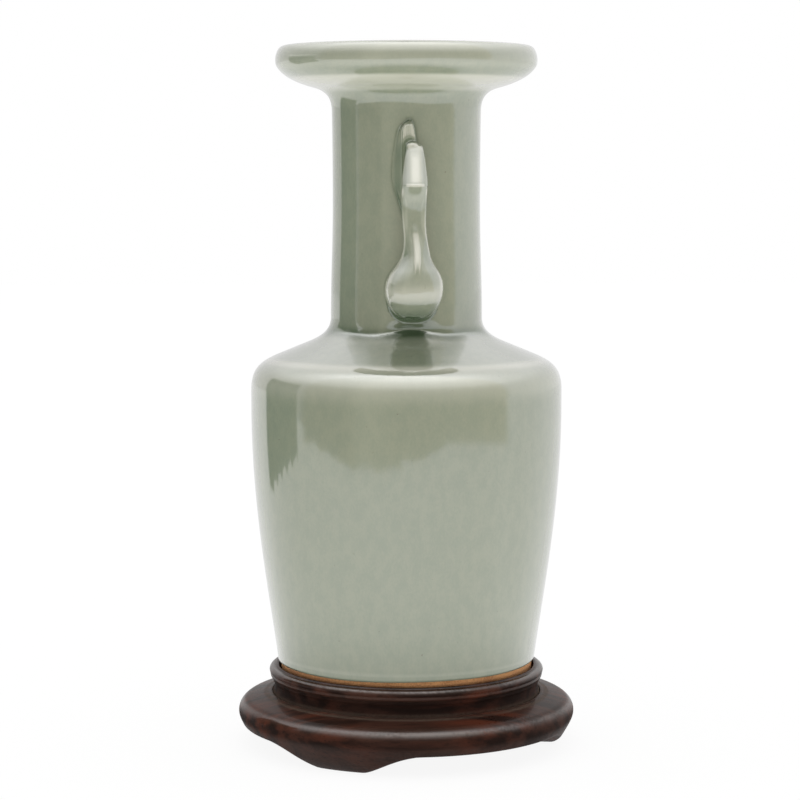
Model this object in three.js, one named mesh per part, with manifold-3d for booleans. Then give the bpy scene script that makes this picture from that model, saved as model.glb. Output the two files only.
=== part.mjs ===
// Twin-handled mallet vase on a turned hardwood stand.
// Millimetres, +Z up. The origin lies on the table, on the common axis of stand and vase.
// The handles point along +X and -X. One foot of the stand points along +Y, the back.

import * as THREE from "three";
import { mergeVertices } from "three/addons/utils/BufferGeometryUtils.js";
import Module from "manifold-3d";

const wasm = await Module();
wasm.setup();

// Fineness of the round surfaces
const TURNED_SIDES = 36;
const CURVE_STEPS = 4;
const DOWEL_SIDES = 12;

// Clearances
const FIT_GAP = 0.3; // glue or slip line between two pieces
const SEAT_CLEARANCE = 0.6; // round play of the vase's foot inside the stand

// Vase: foot ring, base, belly, shoulder, neck and dish mouth, stacked upwards
const WALL = 5.4;
const FOOT_RING_RADIUS = 52.3;
const FOOT_RING_HEIGHT = 8.9;
const FOOT_RING_WIDTH = 7.5;
const FOOT_RING_TAPER = 0.6;
const GLAZE_STEP = 1.0; // the glazed belly stands proud of the bare foot
const BELLY_RADIUS = 63.9;
const BELLY_HEIGHT = 111.1;
const BASE_THICKNESS = 7.0;
const SHOULDER_HEIGHT = 30.0;
const SHOULDER_EDGE_HEIGHT = 14.4; // the rounded edge between belly and shoulder slope
const SHOULDER_EDGE_WIDTH = 10.3;
const COLLAR_WIDTH = 9.0; // the hollow curve from the shoulder slope up to the neck
const COLLAR_HEIGHT = 10.0;
const NECK_RADIUS = 30.1;
const NECK_HEIGHT = 84.5;
const NECK_WAIST_RISE = 50.0; // height of the narrowest place above the neck's foot
const NECK_FOOT_FLARE = 0.9;
const NECK_TOP_FLARE = 0.3;
const DISH_RADIUS = 53.4;
const DISH_HEIGHT = 26.0;
const THROAT_HEIGHT = 9.2; // the hollow curve from the neck out to the dish
const THROAT_WIDTH = 7.6;
const RIM_HEIGHT = 8.3; // the upright band round the dish
const RIM_SWELL = 0.5; // the band swells this much at its middle
const RIM_TUCK = 0.8; // the band leans in this much at its top
const LIP_WIDTH = 6.0;
const LIP_ROUND = 2.2;

// Handles: a plain bird with a crest behind its head
const HANDLE_FOOT_RISE = 1.8; // lowest point above the neck's foot
const HANDLE_TOP_DROP = 3.5; // crest tip below the neck's top
const HANDLE_GAP = 6.2; // clear space between the neck and the bird's back
const HANDLE_OPENING = 14.0; // height of that space under the crest
const BIRD_NECK_WIDTH = 9.5;
const BIRD_NECK_THICKNESS = 4.7;
const BREAST_WIDTH = 23.3;
const BREAST_HEIGHT = 26.0;
const BREAST_WIDEST_RISE = 12.3;
const BREAST_EDGE_RISE = 4.8; // the breast's lower edge above its root
const BREAST_REACH = 12.3; // the breast's lower edge out from the neck
const HEAD_WIDTH = 9.6;
const HEAD_HEIGHT = 17.0;
const CROWN_WIDTH = 6.2;
const CROWN_SETBACK = 1.2; // the crown lies this far in front of the bird's back
const BEAK_REACH = 14.0; // the beak's ridge out from the neck
const BEAK_NOTCH = 2.6; // step under the beak's ridge
const CREST_RISE = 9.4; // crest tip above the crown of the head
const CREST_THICKNESS = 5.4;

// Stand: three bracket feet, a moulded plinth, a floor and a gallery ring
const BRACKET_PLACES = ["back", "left", "right"];
const FIRST_BRACKET_TURN = Math.PI / 2;
const BRACKET_HEIGHT = 8.3;
const BRACKET_PAD_WIDTH = 19.0;
const BRACKET_WIDTH = 52.0;
const BRACKET_DEPTH = 15.0;
const BRACKET_LEAN = 3.6; // the foot's face leans in towards the table
const PLINTH_HEIGHT = 13.5;
const PLINTH_OVERHANG = 14.1; // from the gallery's waist out to the widest point
const PLINTH_UNDERCUT = 3.0;
const PLINTH_TOP_FALL = 4.4; // the top slopes down to its rounded edge
const PLINTH_EDGE_DROP = 8.8; // widest point below the top
const PLINTH_EDGE_WIDTH = 3.6;
const SEAT_LEDGE = 8.0; // the plinth carries the floor on this ledge
const REBATE_DEPTH = 0.8; // the gallery stands this deep in the plinth
const FLOOR_THICKNESS = 6.0;
const GALLERY_HEIGHT = 12.4;
const GALLERY_WALL = 2.7;
const WAIST_HOLLOW = 0.4; // depth of the hollow under the gallery's flat band
const BEAD_HEIGHT = 4.0;
const BEAD_PROUD = 1.3;
const BAND_HEIGHT = 2.6; // the flat band under the bead
const BAND_PROUD = 0.7;
const DOWEL_RADIUS = 2.0;
const DOWEL_LENGTH = 11.0;
const DOWEL_SPACING = 9.0;
const DOWEL_INSET = 8.0; // dowels in from the plinth's lower edge

// Curve shapes: where a curve heads first and where it comes in from,
// each as a share of the way across and a share of the way up to its end
const BELLY_SWELL = [[0.34, 0.26], [1, 0.58]];
const SHOULDER_EDGE = [[0, 0.6], [0.3, 0.78]];
const COLLAR_SWEEP = [[0.6, 0.23], [1, 0.5]];
const NECK_SWEEP = [[0, 0.33], [1, 0.5]];
const THROAT_SWEEP = [[0.03, 0.55], [0.3, 0.85]];
const BOWL_SWEEP = [[0.45, 0.23], [0.8, 0.53]];
const BREAST_UNDER_SWEEP = [[0.62, 0], [1, 0.5]];
const BREAST_OVER_SWEEP = [[0, 0.5], [0.93, 0.62]];
const ACROSS_FIRST = [1, 0];
const UP_FIRST = [0, 1];
const BULGE = [0.5, 0.7];
const SLACK = [0.5, 0.3];
const HALF_UP = [0, 0.5];
const DOME = [0, 0.93];
const OGEE_FOOT = [0.7, 0];
const OGEE_HEAD = [0.3, 1];

// Heights, from the table up
const plinthTop = BRACKET_HEIGHT + PLINTH_HEIGHT;
const seatLevel = plinthTop - REBATE_DEPTH;
const floorTop = seatLevel + FLOOR_THICKNESS;
const galleryTop = seatLevel + GALLERY_HEIGHT;
const bellyBottom = floorTop + FOOT_RING_HEIGHT;
const shoulderBottom = bellyBottom + BELLY_HEIGHT;
const neckBottom = shoulderBottom + SHOULDER_HEIGHT;
const neckTop = neckBottom + NECK_HEIGHT;
const rimTop = neckTop + DISH_HEIGHT;

// Radii, from the bore out to the edge of the stand
const boreRadius = NECK_RADIUS - WALL;
const neckFootRadius = NECK_RADIUS + NECK_FOOT_FLARE;
const neckTopRadius = NECK_RADIUS + NECK_TOP_FLARE;
const bellyFootRadius = FOOT_RING_RADIUS + GLAZE_STEP;
const galleryInner = FOOT_RING_RADIUS + SEAT_CLEARANCE;
const waistRadius = galleryInner + GALLERY_WALL;
const floorRadius = galleryInner - FIT_GAP;
const rebateRadius = waistRadius + FIT_GAP;
const plinthInner = floorRadius - SEAT_LEDGE;
const plinthRadius = waistRadius + PLINTH_OVERHANG;
const plinthBottomRadius = plinthRadius - PLINTH_UNDERCUT;

// Handle levels and reaches
const handleBottom = neckBottom + HANDLE_FOOT_RISE;
const handleTop = neckTop - HANDLE_TOP_DROP;
const breastTop = handleBottom + BREAST_HEIGHT;
const crownTop = handleTop - CREST_RISE;
const beakLevel = crownTop - HEAD_HEIGHT;
const throatLevel = beakLevel - BEAK_NOTCH;
const crestBottom = breastTop + HANDLE_OPENING;
const birdBack = NECK_RADIUS + HANDLE_GAP;
const birdFront = birdBack + BIRD_NECK_THICKNESS;
const beakTip = NECK_RADIUS + BEAK_REACH;
const breastTip = NECK_RADIUS + BREAST_REACH;

// Places of the two dowels of one bracket foot, before it is turned into place
const dowelBottom = BRACKET_HEIGHT - DOWEL_LENGTH / 2;
const dowelTop = BRACKET_HEIGHT + DOWEL_LENGTH / 2;
const dowelCircle = plinthBottomRadius - DOWEL_INSET;
const dowelOffsets = [-DOWEL_SPACING / 2, DOWEL_SPACING / 2];

// Materials
const celadonGlaze = new THREE.MeshStandardMaterial({ color: 0xa3ab97, roughness: 0.12, metalness: 0 });
const bareClay = new THREE.MeshStandardMaterial({ color: 0x9a6238, roughness: 0.85, metalness: 0 });
const rosewood = new THREE.MeshStandardMaterial({ color: 0x3a2420, roughness: 0.38, metalness: 0 });
const dowelWood = new THREE.MeshStandardMaterial({ color: 0x8a6a48, roughness: 0.7, metalness: 0 });

// A closed geometry as a solid that can be cut and joined.
function solidOf(geometry) {
  const bare = geometry.clone();
  bare.deleteAttribute("normal");
  bare.deleteAttribute("uv");
  const merged = mergeVertices(bare);
  const vertProperties = new Float32Array(merged.attributes.position.array);
  const triVerts = new Uint32Array(merged.index.array);
  return new wasm.Manifold(new wasm.Mesh({ numProp: 3, vertProperties, triVerts }));
}

// A solid back as a geometry.
function geometryOf(solid) {
  const mesh = solid.getMesh();
  const geometry = new THREE.BufferGeometry();
  geometry.setAttribute("position", new THREE.BufferAttribute(mesh.vertProperties, 3));
  geometry.setIndex(new THREE.BufferAttribute(mesh.triVerts, 1));
  geometry.computeVertexNormals();
  return geometry;
}

// A point that lies a share of the way across and up from the outline's pen to (x, y).
function partWay(outline, x, y, [across, up]) {
  const pen = outline.currentPoint;
  return [pen.x + across * (x - pen.x), pen.y + up * (y - pen.y)];
}

// A curve to (x, y) with one turn, round the corner that the shares give.
function bend(outline, x, y, corner) {
  outline.quadraticCurveTo(...partWay(outline, x, y, corner), x, y);
}

// A curve to (x, y) that heads for one point and comes in from another.
function sweep(outline, x, y, [first, last]) {
  outline.bezierCurveTo(...partWay(outline, x, y, first), ...partWay(outline, x, y, last), x, y);
}

// The shares of a curve that is walked the other way.
function walkedBack([first, last]) {
  return [last, first].map(([across, up]) => [1 - across, 1 - up]);
}

// A turned piece: an outline of radius and height, walked up its outside, spun round Z.
function turned(outline) {
  const geometry = new THREE.LatheGeometry(outline.getPoints(CURVE_STEPS), TURNED_SIDES);
  return geometry.rotateX(Math.PI / 2);
}

// A board cut to a shape of X and Z, with its thickness centred on Y = 0.
function boardXZ(shape, thickness) {
  const options = { depth: thickness, bevelEnabled: false, curveSegments: CURVE_STEPS };
  const geometry = new THREE.ExtrudeGeometry(shape, options);
  return geometry.translate(0, 0, -thickness / 2).rotateX(Math.PI / 2);
}

// A bar whose end is a shape of Y and Z, running from the axis out along X.
function barYZ(shape, length) {
  const options = { depth: length, bevelEnabled: false, curveSegments: CURVE_STEPS };
  const geometry = new THREE.ExtrudeGeometry(shape, options);
  return geometry.rotateX(Math.PI / 2).rotateZ(Math.PI / 2);
}

// An upright rod, or the hole for one, on the dowel circle of a bracket foot.
function uprightRod(clearance, offset, turn) {
  const radius = DOWEL_RADIUS + clearance;
  const length = dowelTop - dowelBottom + 2 * clearance;
  const geometry = new THREE.CylinderGeometry(radius, radius, length, DOWEL_SIDES);
  geometry.rotateX(Math.PI / 2).translate(dowelCircle, offset, (dowelBottom + dowelTop) / 2);
  return geometry.rotateZ(turn);
}

function piece(name, geometry, material) {
  const mesh = new THREE.Mesh(geometry, material);
  mesh.name = name;
  return mesh;
}

// Foot ring: bare clay, slightly narrower where it stands.
function footRing() {
  const inner = FOOT_RING_RADIUS - FOOT_RING_WIDTH;
  const outline = new THREE.Path();
  outline.moveTo(inner, floorTop);
  outline.lineTo(FOOT_RING_RADIUS - FOOT_RING_TAPER, floorTop);
  outline.lineTo(FOOT_RING_RADIUS, bellyBottom);
  outline.lineTo(inner, bellyBottom);
  outline.closePath();
  return turned(outline);
}

// Base: the flat floor inside the belly's wall, carried by the foot ring.
function base() {
  const radius = bellyFootRadius - WALL - FIT_GAP;
  const outline = new THREE.Path();
  outline.moveTo(0, bellyBottom);
  outline.lineTo(radius, bellyBottom);
  outline.lineTo(radius, bellyBottom + BASE_THICKNESS);
  outline.lineTo(0, bellyBottom + BASE_THICKNESS);
  return turned(outline);
}

// Belly: a wall that swells upwards.
function belly() {
  const outline = new THREE.Path();
  outline.moveTo(bellyFootRadius - WALL, bellyBottom);
  outline.lineTo(bellyFootRadius, bellyBottom);
  sweep(outline, BELLY_RADIUS, shoulderBottom, BELLY_SWELL);
  outline.lineTo(BELLY_RADIUS - WALL, shoulderBottom);
  sweep(outline, bellyFootRadius - WALL, bellyBottom, walkedBack(BELLY_SWELL));
  outline.closePath();
  return turned(outline);
}

// Shoulder: a rounded edge, a slope and a hollow curve up to the neck.
function shoulder() {
  const edgeTop = shoulderBottom + SHOULDER_EDGE_HEIGHT;
  const edgeRadius = BELLY_RADIUS - SHOULDER_EDGE_WIDTH;
  const collarBottom = neckBottom - COLLAR_HEIGHT;
  const collarRadius = neckFootRadius + COLLAR_WIDTH;
  const outline = new THREE.Path();
  outline.moveTo(BELLY_RADIUS - WALL, shoulderBottom);
  outline.lineTo(BELLY_RADIUS, shoulderBottom);
  sweep(outline, edgeRadius, edgeTop, SHOULDER_EDGE);
  outline.lineTo(collarRadius, collarBottom);
  sweep(outline, neckFootRadius, neckBottom, COLLAR_SWEEP);
  outline.lineTo(boreRadius, neckBottom);
  bend(outline, collarRadius - WALL, collarBottom - WALL, UP_FIRST);
  outline.lineTo(edgeRadius - WALL, edgeTop - WALL);
  bend(outline, BELLY_RADIUS - WALL, shoulderBottom, ACROSS_FIRST);
  outline.closePath();
  return turned(outline);
}

// The neck's outer face, moved out by an offset, from its foot to its top.
function neckFace(outline, offset) {
  const waist = NECK_RADIUS + offset;
  sweep(outline, waist, neckBottom + NECK_WAIST_RISE, NECK_SWEEP);
  bend(outline, neckTopRadius + offset, neckTop, HALF_UP);
}

// Neck: a plain tube, a little waisted.
function neck() {
  const outline = new THREE.Path();
  outline.moveTo(neckFootRadius, neckBottom);
  neckFace(outline, 0);
  outline.lineTo(boreRadius, neckTop);
  outline.lineTo(boreRadius, neckBottom);
  outline.closePath();
  return turned(outline);
}

// Dish mouth: a hollow curve out of the neck, a bowl-shaped underside and an upright rim.
function dishMouth() {
  const throatRadius = neckTopRadius + THROAT_WIDTH;
  const throatTop = neckTop + THROAT_HEIGHT;
  const rimFoot = rimTop - RIM_HEIGHT;
  const rimFootRadius = DISH_RADIUS - RIM_SWELL;
  const rimShoulderRadius = rimFootRadius - RIM_TUCK + RIM_SWELL;
  const lipInner = DISH_RADIUS - LIP_WIDTH;
  const outline = new THREE.Path();
  outline.moveTo(neckTopRadius, neckTop);
  sweep(outline, throatRadius, throatTop, THROAT_SWEEP);
  sweep(outline, rimFootRadius, rimFoot, BOWL_SWEEP);
  bend(outline, DISH_RADIUS, rimFoot + RIM_HEIGHT / 3, ACROSS_FIRST);
  bend(outline, rimShoulderRadius, rimTop - LIP_ROUND, HALF_UP);
  bend(outline, rimShoulderRadius - LIP_ROUND, rimTop, UP_FIRST);
  bend(outline, lipInner, rimTop - LIP_ROUND, ACROSS_FIRST);
  bend(outline, throatRadius, throatTop + WALL, UP_FIRST);
  bend(outline, boreRadius, neckTop, ACROSS_FIRST);
  outline.closePath();
  return turned(outline);
}

// The room that the neck takes out of a handle piece, with the lute line round it.
function neckRoom() {
  const outline = new THREE.Path();
  outline.moveTo(0, neckBottom);
  outline.lineTo(neckFootRadius + FIT_GAP, neckBottom);
  neckFace(outline, FIT_GAP);
  outline.lineTo(0, neckTop);
  return solidOf(turned(outline));
}

// The bird seen from the side: breast, slim neck, beak ridge and crown, open behind the neck.
function birdSideView() {
  const view = new THREE.Shape();
  view.moveTo(boreRadius, handleBottom);
  view.lineTo(neckFootRadius, handleBottom);
  bend(view, breastTip, handleBottom + BREAST_EDGE_RISE, SLACK);
  bend(view, birdFront, breastTop, HALF_UP);
  view.lineTo(birdFront, throatLevel);
  view.lineTo(beakTip, beakLevel);
  bend(view, birdBack + CROWN_SETBACK, crownTop, DOME);
  bend(view, birdBack, throatLevel, ACROSS_FIRST);
  view.lineTo(birdBack, breastTop + HANDLE_GAP / 2);
  bend(view, neckFootRadius, breastTop, UP_FIRST);
  view.lineTo(boreRadius, breastTop);
  view.closePath();
  return view;
}

// The bird seen from outside: a round breast, a slim neck and a head that narrows upwards.
function birdFrontView() {
  const view = new THREE.Shape();
  const stemFoot = breastTop + BREAST_EDGE_RISE;
  view.moveTo(0, handleBottom);
  sweep(view, BREAST_WIDTH / 2, handleBottom + BREAST_WIDEST_RISE, BREAST_UNDER_SWEEP);
  sweep(view, BIRD_NECK_WIDTH / 2, stemFoot, BREAST_OVER_SWEEP);
  view.lineTo(HEAD_WIDTH / 2, beakLevel);
  bend(view, CROWN_WIDTH / 2, crownTop, HALF_UP);
  view.lineTo(0, crownTop);
  const halfOutline = view.getPoints(CURVE_STEPS);
  const otherHalf = halfOutline.slice(1, -1).reverse();
  return new THREE.Shape([...halfOutline, ...otherHalf.map((point) => new THREE.Vector2(-point.x, point.y))]);
}

// Bird: both views cut from one block, which is then seated on the neck.
function bird() {
  const sideBlock = solidOf(boardXZ(birdSideView(), BREAST_WIDTH + 2 * FIT_GAP));
  const frontBlock = solidOf(barYZ(birdFrontView(), beakTip + FIT_GAP));
  return geometryOf(sideBlock.intersect(frontBlock).subtract(neckRoom()));
}

// Crest: the upright web behind the head that ties the bird to the neck.
function crest() {
  const front = birdBack - FIT_GAP;
  const view = new THREE.Shape();
  view.moveTo(boreRadius, crestBottom);
  view.lineTo(neckFootRadius, crestBottom);
  bend(view, front, crestBottom + HANDLE_GAP / 2, ACROSS_FIRST);
  view.lineTo(front, crownTop);
  bend(view, neckTopRadius, handleTop, BULGE);
  view.lineTo(boreRadius, handleTop);
  view.closePath();
  return geometryOf(solidOf(boardXZ(view, CREST_THICKNESS)).subtract(neckRoom()));
}

// One handle, turned round the vase to its side.
function handle(side, turn) {
  const group = new THREE.Group();
  group.add(piece(`handle_bird_${side}`, bird(), celadonGlaze));
  group.add(piece(`handle_crest_${side}`, crest(), celadonGlaze));
  group.rotation.z = turn;
  return group;
}

// The direction of a bracket foot, counted round from the first.
function bracketTurn(index) {
  return FIRST_BRACKET_TURN + (index * 2 * Math.PI) / BRACKET_PLACES.length;
}

// A solid with the dowel holes of the bracket foot at a turn taken out.
function boredForDowels(solid, turn) {
  const holes = dowelOffsets.map((offset) => solidOf(uprightRod(FIT_GAP, offset, turn)));
  return holes.reduce((left, hole) => left.subtract(hole), solid);
}

// Plinth: a moulded ring with a sunk seat for the gallery and the floor.
function plinth() {
  const outline = new THREE.Path();
  outline.moveTo(plinthInner, BRACKET_HEIGHT);
  outline.lineTo(plinthBottomRadius, BRACKET_HEIGHT);
  bend(outline, plinthRadius, plinthTop - PLINTH_EDGE_DROP, ACROSS_FIRST);
  bend(outline, plinthRadius - PLINTH_EDGE_WIDTH, plinthTop - PLINTH_TOP_FALL, BULGE);
  bend(outline, rebateRadius, plinthTop, BULGE);
  outline.lineTo(rebateRadius, seatLevel);
  outline.lineTo(plinthInner, seatLevel);
  outline.closePath();
  const turns = BRACKET_PLACES.map((place, index) => bracketTurn(index));
  return geometryOf(turns.reduce(boredForDowels, solidOf(turned(outline))));
}

// Gallery: the ring that holds the vase's foot, with a hollow waist, a flat band and a bead.
function gallery() {
  const beadBottom = galleryTop - BEAD_HEIGHT;
  const bandBottom = beadBottom - BAND_HEIGHT;
  const bandRadius = waistRadius + BAND_PROUD;
  const beadRadius = BEAD_HEIGHT / 2;
  const beadCentre = waistRadius + BEAD_PROUD - beadRadius;
  const hollowRadius = waistRadius - 2 * WAIST_HOLLOW;
  const outline = new THREE.Path();
  outline.moveTo(galleryInner, seatLevel);
  outline.lineTo(waistRadius, seatLevel);
  outline.lineTo(waistRadius, plinthTop);
  outline.quadraticCurveTo(hollowRadius, (plinthTop + bandBottom) / 2, waistRadius, bandBottom);
  outline.lineTo(bandRadius, bandBottom);
  outline.lineTo(bandRadius, beadBottom);
  outline.absarc(beadCentre, beadBottom + beadRadius, beadRadius, -Math.PI / 2, Math.PI / 2);
  outline.lineTo(galleryInner, galleryTop);
  outline.closePath();
  return turned(outline);
}

// Floor: the round board that the vase stands on.
function standFloor() {
  const outline = new THREE.Path();
  outline.moveTo(0, seatLevel);
  outline.lineTo(floorRadius, seatLevel);
  outline.lineTo(floorRadius, floorTop);
  outline.lineTo(0, floorTop);
  return turned(outline);
}

// Bracket foot: a turned ring under the plinth, cut to an ogee outline seen from outside.
function bracket(turn) {
  const inner = plinthBottomRadius - BRACKET_DEPTH;
  const ring = new THREE.Path();
  ring.moveTo(inner, 0);
  ring.lineTo(plinthBottomRadius - BRACKET_LEAN, 0);
  bend(ring, plinthBottomRadius, BRACKET_HEIGHT, ACROSS_FIRST);
  ring.lineTo(inner, BRACKET_HEIGHT);
  ring.closePath();

  const pad = BRACKET_PAD_WIDTH / 2;
  const half = BRACKET_WIDTH / 2;
  const middle = (pad + half) / 2;
  const ogee = new THREE.Shape();
  ogee.moveTo(-pad, 0);
  ogee.lineTo(pad, 0);
  bend(ogee, middle, BRACKET_HEIGHT / 2, OGEE_FOOT);
  bend(ogee, half, BRACKET_HEIGHT, OGEE_HEAD);
  ogee.lineTo(-half, BRACKET_HEIGHT);
  bend(ogee, -middle, BRACKET_HEIGHT / 2, OGEE_FOOT);
  bend(ogee, -pad, 0, OGEE_HEAD);

  const ogeeBar = solidOf(barYZ(ogee, plinthRadius).rotateZ(turn));
  return geometryOf(boredForDowels(solidOf(turned(ring)).intersect(ogeeBar), turn));
}

function vase() {
  const group = new THREE.Group();
  group.add(piece("vase_foot_ring", footRing(), bareClay));
  group.add(piece("vase_base", base(), celadonGlaze));
  group.add(piece("vase_belly", belly(), celadonGlaze));
  group.add(piece("vase_shoulder", shoulder(), celadonGlaze));
  group.add(piece("vase_neck", neck(), celadonGlaze));
  group.add(piece("vase_dish_mouth", dishMouth(), celadonGlaze));
  group.add(handle("right", 0));
  group.add(handle("left", Math.PI));
  return group;
}

function stand() {
  const group = new THREE.Group();
  group.add(piece("stand_plinth", plinth(), rosewood));
  group.add(piece("stand_gallery", gallery(), rosewood));
  group.add(piece("stand_floor", standFloor(), rosewood));
  BRACKET_PLACES.forEach((place, index) => {
    const turn = bracketTurn(index);
    group.add(piece(`stand_foot_${place}`, bracket(turn), rosewood));
    dowelOffsets.forEach((offset, row) => {
      group.add(piece(`foot_dowel_${place}_${row + 1}`, uprightRod(0, offset, turn), dowelWood));
    });
  });
  return group;
}

const twinHandledVase = new THREE.Group();
twinHandledVase.add(stand(), vase());

export default twinHandledVase;
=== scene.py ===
"""Looks of a celadon mallet vase with bird handles, standing in its turned hardwood stand.

Sizes are in millimetres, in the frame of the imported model. A mesh is turned into metres when it is made.
"""

import itertools
import logging
import math
from collections.abc import Callable
from dataclasses import dataclass, field
from enum import Enum

import bpy
import numpy as np
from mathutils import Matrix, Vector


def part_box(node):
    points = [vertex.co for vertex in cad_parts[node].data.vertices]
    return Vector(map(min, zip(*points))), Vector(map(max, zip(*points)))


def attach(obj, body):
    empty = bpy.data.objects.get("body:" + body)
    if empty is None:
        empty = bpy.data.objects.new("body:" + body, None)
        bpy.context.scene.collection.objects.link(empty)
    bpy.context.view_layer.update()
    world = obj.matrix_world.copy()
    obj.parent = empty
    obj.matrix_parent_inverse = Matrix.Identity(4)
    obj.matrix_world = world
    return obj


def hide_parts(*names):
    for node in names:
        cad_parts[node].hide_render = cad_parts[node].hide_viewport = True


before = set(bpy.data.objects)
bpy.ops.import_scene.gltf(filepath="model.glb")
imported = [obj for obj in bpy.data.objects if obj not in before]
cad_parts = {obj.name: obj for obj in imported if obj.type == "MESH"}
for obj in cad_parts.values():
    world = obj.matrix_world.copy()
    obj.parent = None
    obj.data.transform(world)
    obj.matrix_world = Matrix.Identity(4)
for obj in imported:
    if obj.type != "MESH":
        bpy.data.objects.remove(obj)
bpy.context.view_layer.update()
LOG = logging.getLogger("vase")

MM = 0.001
SIDES = 224  # columns round a turned piece
ROW_STEP = 0.9  # distance between rows along an outline
AROUND = (np.arange(SIDES) * 2 * np.pi / SIDES)[None, :]  # bearings of those columns
HALF_TURN = np.array([-1.0, -1.0, 1.0])
SHARP_ANGLE = math.radians(38)
TINY = 1e-9

Array = np.ndarray
Socket = bpy.types.NodeSocket
NodeTree = bpy.types.NodeTree
Material = bpy.types.Material
Mesh = bpy.types.Mesh
Triple = tuple[float, float, float]
Colour = Triple
Share = tuple[float, float]
Span = tuple[float, float, float, float]  # start, rise, end and fall of a window
Stations = tuple[tuple[float, float], ...]


class Body(Enum):
    """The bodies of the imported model."""

    STAND = "stand"
    VASE = "vase"


class Slot(Enum):
    """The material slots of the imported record."""

    GLAZE = "celadon_glaze"
    CLAY = "bare_clay"
    ROSEWOOD = "rosewood"
    DOWEL = "dowel_wood"


class Mark(Enum):
    """What a mesh tells its material at each point, from 0 to 1."""

    # glaze depth, with painted light and painted shade added in places
    GLAZE_DEPTH_AND_LIGHT = "glaze_depth"
    WEAR = "wear"
    # dust, and on the plinth's top a painted highlight line
    DUST_AND_HIGHLIGHT = "dust"
    # painted shade in the stand's waist, below its shoulder and on its feet; it also dulls the wood
    PAINTED_SHADE = "grime"


def low(node: str) -> float:
    """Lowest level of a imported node."""
    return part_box(node)[0].z / MM


def top(node: str) -> float:
    """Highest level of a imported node."""
    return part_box(node)[1].z / MM


def reach(node: str) -> float:
    """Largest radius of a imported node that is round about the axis."""
    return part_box(node)[1].x / MM


def ease(value: Array) -> Array:
    """A smooth step from 0 to 1 as the value goes from 0 to 1."""
    held = np.clip(value, 0.0, 1.0)
    return held * held * (3.0 - 2.0 * held)


def through(stations: Stations, at: Array) -> Array:
    """A smooth curve through stations, level beyond its ends.

    Args:
        stations: pairs of place and value, in rising order of place.
        at: the places to read.

    Returns:
        The value at each place.
    """
    place, value = np.array(stations).T
    slope = np.gradient(value, place)
    held = np.clip(at, place[0], place[-1])
    left = np.clip(np.searchsorted(place, held) - 1, 0, len(place) - 2)
    span = place[left + 1] - place[left]
    t = (held - place[left]) / span
    rise = value[left + 1] - value[left]
    start = span * slope[left]
    end = span * slope[left + 1]
    return value[left] + t * (start + t * (3 * rise - 2 * start - end + t * (start + end - 2 * rise)))


def hump(value: Array, width: float, power: int = 2) -> Array:
    """A smooth hump of height 1 about zero, flatter on top with a higher power."""
    return np.exp(-((value / width) ** power))


def window(value: Array, start: float, rise: float, end: float, fall: float) -> Array:
    """A smooth window that rises from 0 to 1 after its start and falls to 0 before its end."""
    return ease((value - start) / rise) * ease((end - value) / fall)


def off_axis(points: Array) -> Array:
    """Distance of points from the common axis of vase and stand."""
    return np.hypot(points[..., 0], points[..., 1])


def round_axis(radius: Array, angle: Array, height: Array) -> Array:
    """Points at radii, bearings and heights."""
    return np.stack(np.broadcast_arrays(radius * np.cos(angle), radius * np.sin(angle), height), axis=-1)


def hand_thrown(angle: Array, height: Array) -> Array:
    """How far the potter's hand left a wall off its true circle, in millimetres.

    Args:
        angle: bearings of the points.
        height: their heights.

    Returns:
        What is added to the radius at each.
    """
    oval = 0.09 * np.cos(2 * angle + 0.6 + height / 85)
    ripple = 0.04 * np.cos(3 * angle - height / 40)
    return oval + ripple + 0.02 * np.cos(5 * angle + height / 23)


@dataclass
class Skin:
    """A closed surface in the making.

    corners holds a normal for each corner of each face, in order. Without it the faces are smoothed by angle.
    """

    points: Array
    faces: list[list[int]]
    corners: Array | None = None
    marks: dict[Mark, Array] = field(default_factory=dict)

    def mesh(self, name: str) -> Mesh:
        """Makes the Blender mesh.

        Args:
            name: name of the mesh.

        Returns:
            The mesh, in metres.
        """
        mesh = bpy.data.meshes.new(name)
        mesh.from_pydata((self.points * MM).tolist(), [], self.faces)
        mesh.shade_smooth()
        for mark, values in self.marks.items():
            attribute = mesh.attributes.new(mark.value, "FLOAT", "POINT")
            attribute.data.foreach_set("value", np.ascontiguousarray(values, np.float32))
        if self.corners is None:
            mesh.set_sharp_from_angle(angle=SHARP_ANGLE)
        else:
            mesh.normals_split_custom_set(self.corners.tolist())
        return mesh

    def turned_round(self) -> "Skin":
        """The same surface on the other side of the axis."""
        return Skin(self.points * HALF_TURN, self.faces, self.corners * HALF_TURN, self.marks)


def placed(name: str, data: bpy.types.ID) -> bpy.types.Object:
    """Makes an object and links it to the scene.

    Args:
        name: name of the object.
        data: its mesh or camera.

    Returns:
        The object.
    """
    made = bpy.data.objects.new(name, data)
    bpy.context.scene.collection.objects.link(made)
    return made


def settle(mesh: Mesh, material: Material, body: Body, slot: Slot, *nodes: str) -> None:
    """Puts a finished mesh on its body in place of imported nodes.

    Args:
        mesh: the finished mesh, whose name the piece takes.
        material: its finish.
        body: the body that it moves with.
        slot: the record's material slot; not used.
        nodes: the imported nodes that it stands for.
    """
    piece = placed(mesh.name, mesh)
    mesh.materials.clear()
    mesh.materials.append(material)
    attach(piece, body.value)
    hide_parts(*nodes)
    LOG.info("%s: %d faces, on %s, for %s", piece.name, len(mesh.polygons), body.value, ", ".join(nodes))


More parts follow.
